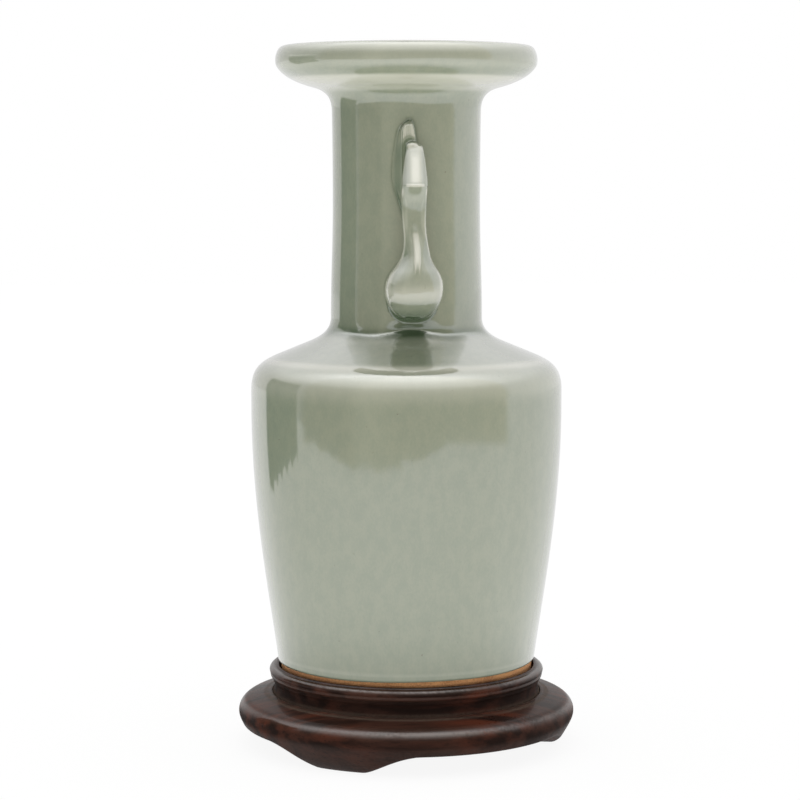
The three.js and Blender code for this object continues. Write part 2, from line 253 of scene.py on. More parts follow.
class Pen:
    """Walks an outline of radius and height."""

    def __init__(self, radius: float, height: float) -> None:
        """Starts the outline at a point."""
        self.stretches = [np.array([[radius, height]])]
        self.stops: dict[str, int] = {}

    def sweep(self, radius: float, height: float, first: Share, last: Share) -> "Pen":
        """Draws a curve.

        Args:
            radius: where it ends, out from the axis.
            height: where it ends, up from the table.
            first: the point that it heads for, as shares of the way across and up.
            last: the point that it comes in from, as such shares.

        Returns:
            The pen, for the next stretch.
        """
        start = self.stretches[-1][-1]
        way = np.array([radius, height]) - start
        corners = [start, start + way * first, start + way * last, start + way]
        length = sum(np.linalg.norm(b - a) for a, b in itertools.pairwise(corners))
        t = np.linspace(0.0, 1.0, max(2, math.ceil(length / ROW_STEP)) + 1)[1:, None]
        weights = [(1 - t) ** 3, 3 * t * (1 - t) ** 2, 3 * t * t * (1 - t), t**3]
        self.stretches.append(sum(w * c for w, c in zip(weights, corners)))
        return self

    def line(self, radius: float, height: float) -> "Pen":
        """Draws a straight stretch."""
        return self.sweep(radius, height, (1 / 3, 1 / 3), (2 / 3, 2 / 3))

    def stop(self, name: str) -> "Pen":
        """Gives the pen's place a name."""
        self.stops[name] = sum(len(stretch) for stretch in self.stretches) - 1
        return self

    def outline(self) -> Array:
        """The rows of radius and height."""
        return np.vstack(self.stretches)


@dataclass
class Band:
    """A smooth stretch of a surface, as rows of points round the axis."""

    points: Array
    normals: Array
    marks: dict[Mark, Array] = field(default_factory=dict)

    def between(self, first: int, last: int) -> "Band":
        """The rows from the first up to and with the last."""
        rows = slice(first, last + 1)
        return Band(self.points[rows], self.normals[rows], {k: v[rows] for k, v in self.marks.items()})


def wrapped(points: Array) -> Band:
    """Finds the normals of rows of points that close round the axis.

    Args:
        points: rows, columns and coordinates, walked up the outside.

    Returns:
        The band.
    """
    up = np.gradient(points, axis=0)
    along = np.roll(points, -1, axis=1) - np.roll(points, 1, axis=1)
    normals = np.cross(along, up)
    length = np.linalg.norm(normals, axis=2, keepdims=True)
    normals = normals / np.maximum(length, TINY)
    for edge, neighbour in ((0, 1), (-1, -2)):
        if length[edge].max() < TINY:
            normals[edge] = normals[neighbour]
    return Band(points, normals)


def spun(outline: Array, radius_change: Callable | None = None) -> Band:
    """Spins an outline round the axis.

    Args:
        outline: rows of radius and height.
        radius_change: what is added to the radius, from the angle and the height.

    Returns:
        The band.
    """
    radius, height = outline[:, :1], outline[:, 1:]
    if radius_change is not None:
        radius = radius + radius_change(AROUND, height)
    return wrapped(round_axis(radius, AROUND, height))


def turned(*pens: Pen) -> list[Band]:
    """Spins outlines into bands."""
    return [spun(pen.outline()) for pen in pens]


def joint_face(before: Band, after: Band) -> Band:
    """The flat face of a joint, from the end of one band to the start of another.

    Args:
        before: the band that ends at the joint.
        after: the band that starts there.

    Returns:
        The face, with the marks of both edges.
    """
    joint = wrapped(np.stack([before.points[-1], after.points[0]]))
    joint.marks = {mark: np.stack([before.marks[mark][-1], after.marks[mark][0]]) for mark in before.marks}
    return joint


def closed(bands: list[Band]) -> Skin:
    """Joins bands end to end into one closed surface.

    Args:
        bands: each starts on the row where the last one ended. The last ends where the first started,
            or the first starts and the last ends on the axis.

    Returns:
        The surface, with the normals of its own band at each face.
    """
    ring = np.allclose(bands[-1].points[-1], bands[0].points[0])
    tail = [] if ring else [bands[-1].points[-1:]]
    points = np.concatenate([band.points[:-1] for band in bands] + tail)
    count = len(points)
    index = np.arange(count * SIDES).reshape(count, SIDES)
    on_axis = off_axis(points[:, 0]) < TINY
    index[on_axis] = index[on_axis, :1]
    faces, corners = [], []
    row = 0
    for band in bands:
        for here, above in itertools.pairwise(band.normals):
            low_row, high_row = index[row], index[(row + 1) % count]
            quad = np.stack([low_row, np.roll(low_row, -1), np.roll(high_row, -1), high_row], axis=1)
            normal = np.stack([here, np.roll(here, -1, 0), np.roll(above, -1, 0), above], axis=1)
            kept = [0, 1, 2, 3]
            if on_axis[row]:
                kept = [0, 2, 3]
            elif on_axis[(row + 1) % count]:
                kept = [0, 1, 2]
            faces += quad[:, kept].tolist()
            corners.append(normal[:, kept].reshape(-1, 3))
            row += 1
    marks = {}
    for mark in bands[0].marks:
        end = [] if ring else [bands[-1].marks[mark][-1:]]
        marks[mark] = np.concatenate([band.marks[mark][:-1] for band in bands] + end).reshape(-1)
    used = np.unique(np.concatenate([np.ravel(face) for face in faces]))
    place = np.zeros(count * SIDES, int)
    place[used] = np.arange(len(used))
    packed = [[int(place[corner]) for corner in face] for face in faces]
    marks = {mark: values[used] for mark, values in marks.items()}
    return Skin(points.reshape(-1, 3)[used], packed, np.concatenate(corners), marks)


def marked(bands: list[Band], values: dict[Mark, Callable]) -> list[Band]:
    """Gives each point of some bands its marks.

    Args:
        bands: the bands to mark.
        values: how each mark follows from the points of a band.

    Returns:
        The same bands.
    """
    for band, (mark, value) in itertools.product(bands, values.items()):
        band.marks[mark] = np.broadcast_to(value(band.points), band.points.shape[:2])
    return bands


def disc(radius: float, lower: float, upper: float, arris: float) -> list[Band]:
    """A round board with its upper arris rounded.

    Args:
        radius: its radius.
        lower: level of its underside.
        upper: level of its top.
        arris: radius of the rounding.

    Returns:
        Its underside, edge and top.
    """
    under = Pen(0.0, lower).line(radius, lower)
    edge = Pen(radius, lower).line(radius, upper - arris)
    over = Pen(radius, upper - arris).sweep(radius - arris, upper, (0.0, 0.55), (0.45, 1.0)).line(0.0, upper)
    return turned(under, edge, over)


class Graph:
    """A node tree with short ways to place and join nodes."""

    def __init__(self, tree: NodeTree) -> None:
        """Takes the tree to build in."""
        self.tree = tree

    def feed(self, socket: Socket, value: object) -> None:
        """Joins a socket to another one, or sets its value.

        Args:
            socket: the input.
            value: a socket, or a number, vector or colour.
        """
        if isinstance(value, Socket):
            self.tree.links.new(value, socket)
        elif socket.type == "RGBA":
            socket.default_value = (*value, 1.0)
        else:
            socket.default_value = value

    def feed_all(self, node: bpy.types.Node, inputs: dict) -> None:
        """Feeds inputs of a node, by name or number."""
        for key, value in inputs.items():
            self.feed(node.inputs[key], value)

    def node(self, kind: str, inputs: dict | None = None, **settings: object) -> bpy.types.Node:
        """Places a node.

        Args:
            kind: Blender's name of the node.
            inputs: values or sockets for its inputs, by name or number.
            settings: its own settings.

        Returns:
            The node.
        """
        made = self.tree.nodes.new(kind)
        for name, value in settings.items():
            setattr(made, name, value)
        self.feed_all(made, inputs or {})
        return made

    def math(self, operation: str, first: object, second: object = 0.0) -> Socket:
        """Works out a number from two, held from 0 to 1 only by the operations that do so."""
        return self.node("ShaderNodeMath", {0: first, 1: second}, operation=operation).outputs[0]

    def span(self, value: object, start: float, end: float, least: float = 0.0, most: float = 1.0) -> Socket:
        """Maps a number from one span smoothly to another and holds it there."""
        inputs = {"Value": value, 1: start, 2: end, 3: least, 4: most}
        return self.node("ShaderNodeMapRange", inputs, interpolation_type="SMOOTHSTEP").outputs[0]

    def total(self, first: object, factor: object, second: object) -> Socket:
        """A number times a factor, plus another number."""
        inputs = {0: first, 1: factor, 2: second}
        return self.node("ShaderNodeMath", inputs, operation="MULTIPLY_ADD").outputs[0]

    def ramp(self, value: object, stations: Stations) -> Socket:
        """Reads a number off straight lines between stations, level beyond their ends.

        Args:
            value: where to read.
            stations: pairs of place and number, in rising order of place, none below zero.

        Returns:
            The number.
        """
        first, last = stations[0][0], stations[-1][0]
        most = max(number for _, number in stations)
        share = self.node("ShaderNodeMapRange", {"Value": value, 1: first, 2: last}).outputs[0]
        line = self.node("ShaderNodeValToRGB", {0: share})
        stops = line.color_ramp.elements
        for place, _ in stations[1:-1]:
            stops.new((place - first) / (last - first))
        for stop, (_, number) in zip(stops, stations):
            stop.color = (number / most, number / most, number / most, 1.0)
        return self.math("MULTIPLY", line.outputs[0], most)

    def blend(self, share: object, first: object, second: object) -> Socket:
        """Mixes two colours."""
        mixed = self.node("ShaderNodeMix", {0: share, 6: first, 7: second}, data_type="RGBA")
        return mixed.outputs[2]

    def grey(self, level: object) -> Socket:
        """A grey of a level."""
        return self.node("ShaderNodeCombineColor", {0: level, 1: level, 2: level}).outputs[0]

    def vectors(self, operation: str, first: object, second: object) -> Socket:
        """Works out a vector or a colour from two."""
        return self.node("ShaderNodeVectorMath", {0: first, 1: second}, operation=operation).outputs[0]

    def noise(self, place: object, scale: float, detail: float = 2.0) -> Socket:
        """Soft noise about one half, with so many lumps in a metre."""
        return self.node("ShaderNodeTexNoise", {"Vector": place, "Scale": scale, "Detail": detail}).outputs[0]

    def place(self) -> Socket:
        """The place on the object, in metres."""
        return self.node("ShaderNodeTexCoord").outputs["Object"]

    def stretched(self, place: object, scale: Triple) -> Socket:
        """The place, scaled along each axis."""
        return self.node("ShaderNodeMapping", {"Vector": place, "Scale": scale}).outputs[0]

    def mark(self, mark: Mark) -> Socket:
        """A mark that the mesh carries."""
        return self.node("ShaderNodeAttribute", attribute_name=mark.value).outputs["Fac"]

    def group(self, tree: NodeTree, inputs: dict) -> bpy.types.Node:
        """Places a shared group."""
        return self.node("ShaderNodeGroup", inputs, node_tree=tree)

    def bump(self, strength: float, distance: float, height: object) -> Socket:
        """Fine relief, with its height in metres."""
        inputs = {"Strength": strength, "Distance": distance, "Height": height}
        return self.node("ShaderNodeBump", inputs).outputs[0]


def shader_group(name: str, inputs: dict[str, str], outputs: list[str]) -> tuple[Graph, dict, dict]:
    """Starts a shader node group.

    Args:
        name: name of the group.
        inputs: kind of each input socket by its name.
        outputs: names of the numbers that it puts out.

    Returns:
        The graph, the input sockets by name and the output sockets by name.
    """
    tree = bpy.data.node_groups.new(name, "ShaderNodeTree")
    for socket, kind in inputs.items():
        tree.interface.new_socket(name=socket, in_out="INPUT", socket_type=kind)
    for socket in outputs:
        tree.interface.new_socket(name=socket, in_out="OUTPUT", socket_type="NodeSocketFloat")
    entry = tree.nodes.new("NodeGroupInput").outputs
    leave = tree.nodes.new("NodeGroupOutput").inputs
    return Graph(tree), {name: entry[name] for name in inputs}, {name: leave[name] for name in outputs}


class SharedEffects:
    """Node groups that more than one finish uses."""

    def __init__(self) -> None:
        """Builds the groups once."""
        self.uneven = self.uneven_tone()
        self.grain = self.wood_grain()
        self.specks = self.settled_specks()

    @staticmethod
    def uneven_tone() -> NodeTree:
        """Clouds with a little fine grit in them, about one half.

        Returns:
            The node group.
        """
        sockets = {"Place": "NodeSocketVector"}
        sockets |= dict.fromkeys(("Cloud Scale", "Grit Scale"), "NodeSocketFloat")
        graph, entry, leave = shader_group("uneven_tone", sockets, ["Tone"])
        cloud = graph.noise(entry["Place"], entry["Cloud Scale"], 3.0)
        grit = graph.noise(entry["Place"], entry["Grit Scale"], 2.0)
        graph.feed(leave["Tone"], graph.total(grit, 0.4, graph.math("MULTIPLY", cloud, 0.6)))
        return graph.tree

    @staticmethod
    def wood_grain() -> NodeTree:
        """Long streaks and short pores along Y.

        Returns:
            The node group.
        """
        graph, entry, leave = shader_group("wood_grain", {"Place": "NodeSocketVector"}, ["Streak", "Pore"])
        streaks = graph.noise(graph.stretched(entry["Place"], (190.0, 14.0, 190.0)), 1.0, 4.0)
        pores = graph.noise(graph.stretched(entry["Place"], (1500.0, 90.0, 1500.0)), 1.0, 1.0)
        graph.feed(leave["Streak"], graph.span(streaks, 0.36, 0.66))
        graph.feed(leave["Pore"], graph.span(pores, 0.58, 0.72))
        return graph.tree

    @staticmethod
    def settled_specks() -> NodeTree:
        """Specks of dust or grit, thicker where the mark is stronger.

        Returns:
            The node group.
        """
        sockets = {"Place": "NodeSocketVector"}
        sockets |= dict.fromkeys(("Amount", "Speck Scale"), "NodeSocketFloat")
        graph, entry, leave = shader_group("settled_specks", sockets, ["Mask"])
        noise = graph.noise(entry["Place"], entry["Speck Scale"], 3.0)
        over = graph.math("ADD", noise, graph.math("MULTIPLY", entry["Amount"], 0.42))
        graph.feed(leave["Mask"], graph.span(over, 0.72, 0.86))
        return graph.tree


def new_finish(name: str) -> tuple[Material, Graph, bpy.types.Node]:
    """Starts a material.

    Args:
        name: name of the material.

    Returns:
        The material, its graph and its Principled BSDF.
    """
    material = bpy.data.materials.new(name)
    material.use_nodes = True
    return material, Graph(material.node_tree), material.node_tree.nodes["Principled BSDF"]


@dataclass(frozen=True)
class CeladonGlaze:
    """Thick glossy grey-green glaze, paler where thin, greener where pooled; its colours also paint light and
    shade.
    """

    body: Colour = (0.236, 0.258, 0.184)
    cool: Colour = (0.207, 0.235, 0.168)
    # colour of thin glaze, also used for painted light
    thin: Colour = (0.475, 0.475, 0.388)
    # colour of pooled glaze, also used for painted shade
    pooled: Colour = (0.082, 0.118, 0.066)
    iron: Colour = (0.1, 0.075, 0.045)
    roughness: float = 0.1
    coat_roughness: float = 0.035
    ior: float = 1.5
    peel: float = 2.2e-6  # height of the glaze's fine unevenness, in metres

    def material(self, effects: SharedEffects) -> Material:
        """Builds the material from the shared effects.

        Args:
            effects: the shared node groups.

        Returns:
            The material.
        """
        material, graph, shader = new_finish("celadon_glaze")
        place = graph.place()
        runs = graph.stretched(place, (1.0, 1.0, 0.6))
        tone = graph.group(effects.uneven, {"Place": runs, "Cloud Scale": 240.0, "Grit Scale": 1300.0})
        share = graph.span(tone.outputs[0], 0.34, 0.66)
        body = graph.blend(share, self.body, self.cool)
        # glaze depth, carrying painted light and shade in places
        depth_and_light = graph.mark(Mark.GLAZE_DEPTH_AND_LIGHT)
        body = graph.blend(graph.span(depth_and_light, 0.42, 0.0), body, self.thin)
        body = graph.blend(graph.span(depth_and_light, 0.58, 1.0), body, self.pooled)
        specks = graph.group(effects.specks, {"Place": place, "Amount": 0.03, "Speck Scale": 420.0}).outputs[0]
        body = graph.blend(graph.math("MULTIPLY", specks, 0.7), body, self.iron)
        rough = graph.span(share, 0.0, 1.0, self.roughness, self.roughness * 1.4)
        peel = graph.bump(1.0, self.peel, graph.noise(place, 900.0, 1.0))
        graph.feed_all(shader, {"Base Color": body, "Roughness": rough, "IOR": self.ior, "Normal": peel})
        coat = {"Weight": 1.0, "Roughness": self.coat_roughness, "IOR": self.ior, "Normal": peel}
        graph.feed_all(shader, {f"Coat {name}": value for name, value in coat.items()})
        return material


@dataclass(frozen=True)
class BareClay:
    """Unglazed stoneware that fired orange-brown."""

    light: Colour = (0.62, 0.31, 0.125)
    dark: Colour = (0.36, 0.155, 0.058)
    # painted shade on the clay under the stand's lip
    clay_shade: Colour = (0.06, 0.026, 0.012)
    grit: Colour = (0.05, 0.03, 0.02)

    def material(self, effects: SharedEffects) -> Material:
        """Builds the material from the shared effects.

        Args:
            effects: the shared node groups.

        Returns:
            The material.
        """
        material, graph, shader = new_finish("bare_clay")
        place = graph.place()
        clouds = {"Place": place, "Cloud Scale": 60.0, "Grit Scale": 1400.0}
        tone = graph.group(effects.uneven, clouds).outputs[0]
        specks = graph.group(effects.specks, {"Place": place, "Amount": 0.1, "Speck Scale": 1800.0}).outputs[0]
        colour = graph.blend(graph.span(tone, 0.36, 0.64), self.dark, self.light)
        level = graph.node("ShaderNodeSeparateXYZ", {0: place}).outputs["Z"]
        # painted shade: darker towards the foot of the bare ring, under the stand's lip
        hidden = graph.span(graph.total(tone, 0.0006, level), 0.0318, 0.0345, 0.62, 0.0)
        colour = graph.blend(hidden, colour, self.clay_shade)
        colour = graph.blend(specks, colour, self.grit)
        rough = graph.span(tone, 0.3, 0.7, 0.72, 0.9)
        grain = graph.bump(0.6, 6e-5, tone)
        graph.feed_all(shader, {"Base Color": colour, "Roughness": rough, "Normal": grain})
        return material


@dataclass(frozen=True)
class Rosewood:
    """Dark red-brown hardwood under old satin lacquer: worn edges, dust in corners, painted shade, a painted
    highlight line.
    """

    dark: Colour = (0.0165, 0.0084, 0.0064)
    mid: Colour = (0.056, 0.0245, 0.017)
    red: Colour = (0.096, 0.026, 0.0138)
    worn: Colour = (0.052, 0.0245, 0.0165)
    # dust, also the colour of the painted highlight line on the plinth's top
    dust: Colour = (0.1, 0.075, 0.058)
    # colour of the painted shade
    grime: Colour = (0.0055, 0.003, 0.0024)
    gloss: float = 0.03  # of the bare wood, as the shader's specular level
    polish: float = 0.6  # of the lacquer where hands and cloths have rubbed it
    coat_roughness: float = 0.08

    def material(self, effects: SharedEffects) -> Material:
        """Builds the material from the shared effects.

        Args:
            effects: the shared node groups.

        Returns:
            The material.
        """
        material, graph, shader = new_finish("rosewood")
        place = graph.place()
        grain = graph.group(effects.grain, {"Place": place})
        clouds = {"Place": place, "Cloud Scale": 28.0, "Grit Scale": 800.0}
        tone = graph.group(effects.uneven, clouds).outputs[0]
        colour = graph.blend(grain.outputs["Streak"], self.dark, self.mid)
        patches = graph.noise(graph.stretched(place, (40.0, 16.0, 40.0)), 1.0, 3.0)
        red_share = graph.math("MULTIPLY", graph.span(patches, 0.48, 0.72), grain.outputs["Streak"])
        colour = graph.blend(red_share, colour, self.red)
        rubbed = graph.math("MULTIPLY", graph.mark(Mark.WEAR), graph.span(tone, 0.35, 0.62, 0.1, 0.85))
        colour = graph.blend(rubbed, colour, self.worn)
        colour = graph.blend(graph.math("MULTIPLY", grain.outputs["Pore"], 0.5), colour, self.dark)
        # painted shade from its mark
        colour = graph.blend(graph.mark(Mark.PAINTED_SHADE), colour, self.grime)
        # dust and the painted highlight line, broken up by the tone
        dust_and_highlight = graph.math("MULTIPLY", graph.mark(Mark.DUST_AND_HIGHLIGHT), graph.span(tone, 0.35, 0.62, 0.3, 1.0))
        colour = graph.blend(graph.math("MINIMUM", dust_and_highlight, 1.0), colour, self.dust)
        dull = graph.math("ADD", dust_and_highlight, graph.mark(Mark.PAINTED_SHADE))
        rough = graph.total(dull, 0.5, graph.span(tone, 0.3, 0.7, 0.25, 0.38))
        patchy = graph.span(tone, 0.38, 0.6, 0.55 * self.polish, 1.25 * self.polish)
        lacquer = graph.math("MULTIPLY", graph.mark(Mark.WEAR), patchy)
        height = graph.math("SUBTRACT", tone, graph.math("MULTIPLY", grain.outputs["Pore"], 0.3))
        relief = graph.bump(0.5, 5e-5, height)
        graph.feed_all(shader, {"Base Color": colour, "Roughness": rough, "Normal": relief})
        graph.feed_all(shader, {"Specular IOR Level": self.gloss, "Coat Weight": lacquer})
        graph.feed_all(shader, {"Coat Roughness": self.coat_roughness})
        return material


@dataclass(frozen=True)
class DowelWood:
    """Plain split wood of the hidden dowels."""

    light: Colour = (0.36, 0.24, 0.13)
    dark: Colour = (0.2, 0.12, 0.06)

    def material(self, effects: SharedEffects) -> Material:
        """Builds the material from the shared effects.

        Args:
            effects: the shared node groups.

        Returns:
            The material.
        """
        material, graph, shader = new_finish("dowel_wood")
        turn = graph.node("ShaderNodeMapping", {"Vector": graph.place(), "Rotation": (math.pi / 2, 0.0, 0.0)})
        grain = graph.group(effects.grain, {"Place": turn.outputs[0]})
        colour = graph.blend(grain.outputs["Streak"], self.light, self.dark)
        rough = graph.span(grain.outputs["Pore"], 0.0, 1.0, 0.62, 0.8)
        graph.feed_all(shader, {"Base Color": colour, "Roughness": rough})
        return material


@dataclass
class VaseBody:
    """The thrown sections of the vase.

    One outline runs from the glaze's edge up over the lip and down inside to the base. The sections are cut
    from it, so that the glaze runs over their joints.
    """

    wall: float = 5.4
    bore: float = 24.7
    glaze_step: float = 1.1  # the glaze stands proud of the bare foot
    glaze_run: float = 0.95  # the glaze runs down over the top of the bare foot
    glaze_roll: float = 1.3  # height of the glaze's rolled edge
    glaze_tilt: float = 0.4  # that edge lies higher on one side of the vase
    glaze_waver: float = 0.1
    waver_height: float = 4.0
    hip_height: float = 7.0  # upright top of the belly
    edge_width: float = 10.3  # rounded edge between belly and shoulder
    edge_height: float = 14.4
    collar_width: float = 9.0
    collar_height: float = 10.0
    neck_radius: float = 30.1
    neck_waist: float = 227.0
    throat_width: float = 7.6
    throat_height: float = 9.2
    rim_height: float = 8.3
    lip_drop: float = 2.2
    base_thickness: float = 7.0
    base_arris: float = 0.8
    ring_width: float = 7.5  # of the bare foot ring
    ring_taper: float = 0.6
    ring_arris: float = 0.7
    lute_gap: float = 0.3
    collar_cut: Stations = (  # how deep the collar is scraped below the handles, by height
        (167.2, 0.0), (168.9, 0.5), (170.0, 1.25), (171.2, 1.95), (172.6, 1.3), (174.1, 0.55),
        (175.8, 0.1), (177.0, 0.0),
    )
    cut_rows: int = 15  # rows of the neck that the scraping reaches up into
    collar_rise: float = 2.0  # how far the collar is drawn up below the middle of a handle
    collar_rise_width: float = 12.0
    edge_thinning_and_light: tuple[Triple, ...] = (  # place past the hip, width and amount of thinner glaze; the last band is painted light
        (5.0, 8.5, 0.2), (18.0, 6.0, 0.1), (15.8, 2.2, 0.27),
    )
    # painted light: the underside of the dish made paler, as if lit from the table
    dish_painted_light: float = 0.38
    dish_light_span: Span = (4.0, 6.0, 26.0, 4.0)  # along the outline from the throat
    rim_thinning: float = 0.09
    rim_span: Span = (26.0, 4.0, 46.0, 4.0)
    collar_pool: float = 0.3
    foot_pool: float = 0.4
    root_pool_and_shade: float = 0.4  # along the roots of the handles, as pooled glaze and painted shade
    shade_below_handle: float = 0.36  # painted shade down from the handles to the collar
    shade_below_span: Span = (170.0, 3.0, 184.0, 6.0)  # where that painted shade lies, by height
    rows_below: int = 8  # rows under the neck that the run reaches into
    rows_above: int = 12  # rows of the dish that count as neck where a handle comes close

    def __post_init__(self) -> None:
        """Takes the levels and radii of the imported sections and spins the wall."""
        self.edge = low("vase_belly")
        self.hip = low("vase_shoulder")
        self.collar = low("vase_neck")
        self.throat = low("vase_dish_mouth")
        self.rim = top("vase_dish_mouth")
        self.belly = reach("vase_belly")
        self.foot = reach("vase_foot_ring")
        self.pen = self.walk()
        self.wall_band = wrapped(self.by_hand(spun(self.pen.outline(), hand_thrown).points))
        self.mark_glaze()

    def walk(self) -> Pen:
        """The outline from the glaze's edge over the lip and down inside to the base.

        Returns:
            The pen, with named stops at the joints.
        """
        foot = self.foot + self.glaze_step
        neck_foot = reach("vase_neck")
        neck_top = self.neck_radius + 0.3
        shelf = neck_top + self.throat_width
        shelf_level = self.throat + self.throat_height
        rim_foot = reach("vase_dish_mouth") - 0.5
        lip = self.rim - self.lip_drop
        inner_hip = self.belly - self.wall
        pen = Pen(self.foot + 0.05, self.edge).stop("edge_out")
        pen.line(self.foot + 0.05, self.edge - self.glaze_run)
        pen.sweep(foot, self.edge - self.glaze_run + self.glaze_roll, (0.75, 0.0), (1.0, 0.4))
        pen.sweep(self.belly, self.hip - self.hip_height, (0.34, 0.26), (1.0, 0.5965))
        pen.line(self.belly, self.hip).stop("hip_out")
        pen.sweep(self.belly - self.edge_width, self.hip + self.edge_height, (0.0, 0.59), (0.3, 0.785))
        pen.line(neck_foot + self.collar_width, self.collar - self.collar_height)
        pen.sweep(neck_foot, self.collar, (0.61, 0.23), (0.99, 0.5)).stop("collar_out")
        pen.sweep(self.neck_radius, self.neck_waist, (0.0, 0.36), (1.0, 0.55))
        pen.sweep(neck_top, self.throat, (0.0, 0.33), (0.5, 0.8)).stop("throat_out")
        pen.sweep(shelf, shelf_level, (0.03, 0.54), (0.28, 0.85))
        pen.sweep(rim_foot, self.rim - self.rim_height, (0.47, 0.22), (0.84, 0.53))
        pen.sweep(rim_foot - 0.3, lip, (-2.3, 0.23), (-2.3, 0.62))
        pen.sweep(rim_foot - 3.3, self.rim, (0.2, 0.68), (0.6, 1.0))
        pen.sweep(rim_foot - 5.7, lip - 0.3, (0.5, 0.0), (0.95, 0.45))
        pen.sweep(shelf - 2.0, shelf_level + self.wall - 0.9, (0.05, 0.45), (0.42, 0.9))
        pen.sweep(self.bore, self.throat, (0.56, 0.07), (0.98, 0.5)).stop("throat_in")
        pen.line(self.bore, self.collar).stop("collar_in")
        collar_inner = neck_foot + self.collar_width - self.wall
        pen.sweep(collar_inner, self.collar - self.collar_height - self.wall, (0.0, 0.66), (0.33, 0.9))
        pen.line(self.belly - self.edge_width - self.wall, self.hip + self.edge_height - self.wall)
        pen.sweep(inner_hip, self.hip, (0.7, 0.3), (1.0, 0.6)).stop("hip_in")
        pen.sweep(foot - self.wall - 0.1, self.edge, (0.0, 0.42), (0.66, 0.74)).stop("edge_in")
        return pen

    def by_hand(self, points: Array) -> Array:
        """Scrapes the collar and draws it up below the handles, and lets the glaze's edge run unevenly.

        Args:
            points: rows of the true wall.

        Returns:
            The rows as the potter left them.
        """
        stops = self.pen.stops
        angle = np.arctan2(points[..., 1], points[..., 0])
        height = points[..., 2]
        cut = np.zeros_like(height)
        collar = slice(stops["hip_out"], stops["collar_out"] + self.cut_rows)
        turn = angle[collar]
        beside = ease((np.cos(turn) ** 2 - 0.07) / 0.34) * (1.0 + 0.12 * np.cos(9 * turn + 0.8))
        drawn_up = self.collar_rise * hump(points[collar][..., 1], self.collar_rise_width)
        drawn_up += 0.3 * np.cos(7 * turn + 0.4)
        cut[collar] = beside * through(self.collar_cut, height[collar] - drawn_up)
        inward = 1.0 - cut / off_axis(points)
        lowest = int(np.argmin(height[: stops["hip_out"], 0]))
        share = np.zeros_like(height)
        share[:lowest] = (self.edge - height[:lowest]) / self.glaze_run
        outside = slice(lowest, stops["hip_out"])
        fade = self.waver_height
        share[outside] = ease((self.edge + fade - height[outside]) / (fade + self.glaze_run))
        lift = share * (self.glaze_tilt * np.sin(angle) + self.glaze_waver * np.sin(5 * angle + 1.0))
        return np.stack([points[..., 0] * inward, points[..., 1] * inward, height + lift], axis=2)

    def mark_glaze(self) -> None:
        """Thins glaze on rounded edges, pools it in hollows and at the foot, paints light under dish and
        shoulder.
        """
        radius, height = self.pen.outline().T
        heading = np.unwrap(np.arctan2(np.gradient(height), np.gradient(radius)))
        walked = np.concatenate([[0.0], np.cumsum(np.hypot(np.diff(radius), np.diff(height)))])
        bend = np.gradient(heading, walked)
        near = np.abs(walked[:, None] - walked[None, :])
        weight = hump(near, 3.2)
        depth_and_light = np.clip(0.5 - 0.9 * (weight @ bend) / weight.sum(axis=1), 0.3, 0.8)
        starts = [walked[self.pen.stops[name]] for name in ("hip_out", "collar_out", "throat_out")]
        hip, collar, throat = (walked - start for start in starts)
        for place, width, amount in self.edge_thinning_and_light:
            depth_and_light -= amount * hump(hip - place, width)
        # painted light under the dish
        depth_and_light -= self.dish_painted_light * window(throat, *self.dish_light_span)
        depth_and_light -= self.rim_thinning * window(throat, *self.rim_span)
        depth_and_light += self.collar_pool * hump(collar + 6.0, 3.0)
        depth_and_light += self.foot_pool * hump(walked - self.glaze_run - 1.2, 1.2)
        self.wall_band.marks[Mark.GLAZE_DEPTH_AND_LIGHT] = np.broadcast_to(depth_and_light[:, None], (len(depth_and_light), SIDES))

    def pool_round(self, handle: Callable, reach_out: float = 1.3) -> None:
        """Pools glaze along both handles' roots, with painted shade there and down below each to the collar.

        Args:
            handle: signed distance from the handle that points along +X.
            reach_out: how far the pooled glaze and its painted shade reach.
        """
        rows = slice(self.pen.stops["collar_out"] - self.rows_below, self.pen.stops["throat_out"])
        points = self.wall_band.points[rows].reshape(-1, 3)
        on_right = points * np.where(points[:, :1] < 0.0, HALF_TURN, 1.0)
        away = np.maximum(handle(on_right), 0.0).reshape(-1, SIDES)
        _, aside, height = points.T
        # painted shade under each handle, down to the collar
        run = hump(aside, 9.0) * window(height, *self.shade_below_span)
        pool = self.root_pool_and_shade * hump(away, reach_out) + self.shade_below_handle * run.reshape(-1, SIDES)
        depth_and_light = np.array(self.wall_band.marks[Mark.GLAZE_DEPTH_AND_LIGHT])
        depth_and_light[rows] = np.minimum(depth_and_light[rows] + pool, 1.0)
        self.wall_band.marks[Mark.GLAZE_DEPTH_AND_LIGHT] = depth_and_light

    def section(self, first: str, last: str) -> Skin:
        """Cuts one section out of the wall.

        Args:
            first: name of the outline's stops at its lower joint.
            last: name of the stops at its upper joint.

        Returns:
            The closed section, with flat joint faces.
        """
        stops = self.pen.stops
        outside = self.wall_band.between(stops[f"{first}_out"], stops[f"{last}_out"])
        inside = self.wall_band.between(stops[f"{last}_in"], stops[f"{first}_in"])
        return closed([outside, joint_face(outside, inside), inside, joint_face(inside, outside)])

    def dish(self) -> Skin:
        """Cuts the dish mouth, whose surface runs on over the lip.

        Returns:
            The closed surface with its marks.
        """
        stops = self.pen.stops
        bowl = self.wall_band.between(stops["throat_out"], stops["throat_in"])
        return closed([bowl, joint_face(bowl, bowl)])

    def base(self) -> Skin:
        """The round floor inside the wall.

        Returns:
            The closed surface with its marks.
        """
        radius = self.foot + self.glaze_step - self.wall - self.lute_gap
        bands = disc(radius, self.edge, self.edge + self.base_thickness, self.base_arris)
        return closed(marked(bands, {Mark.GLAZE_DEPTH_AND_LIGHT: lambda points: 0.55}))

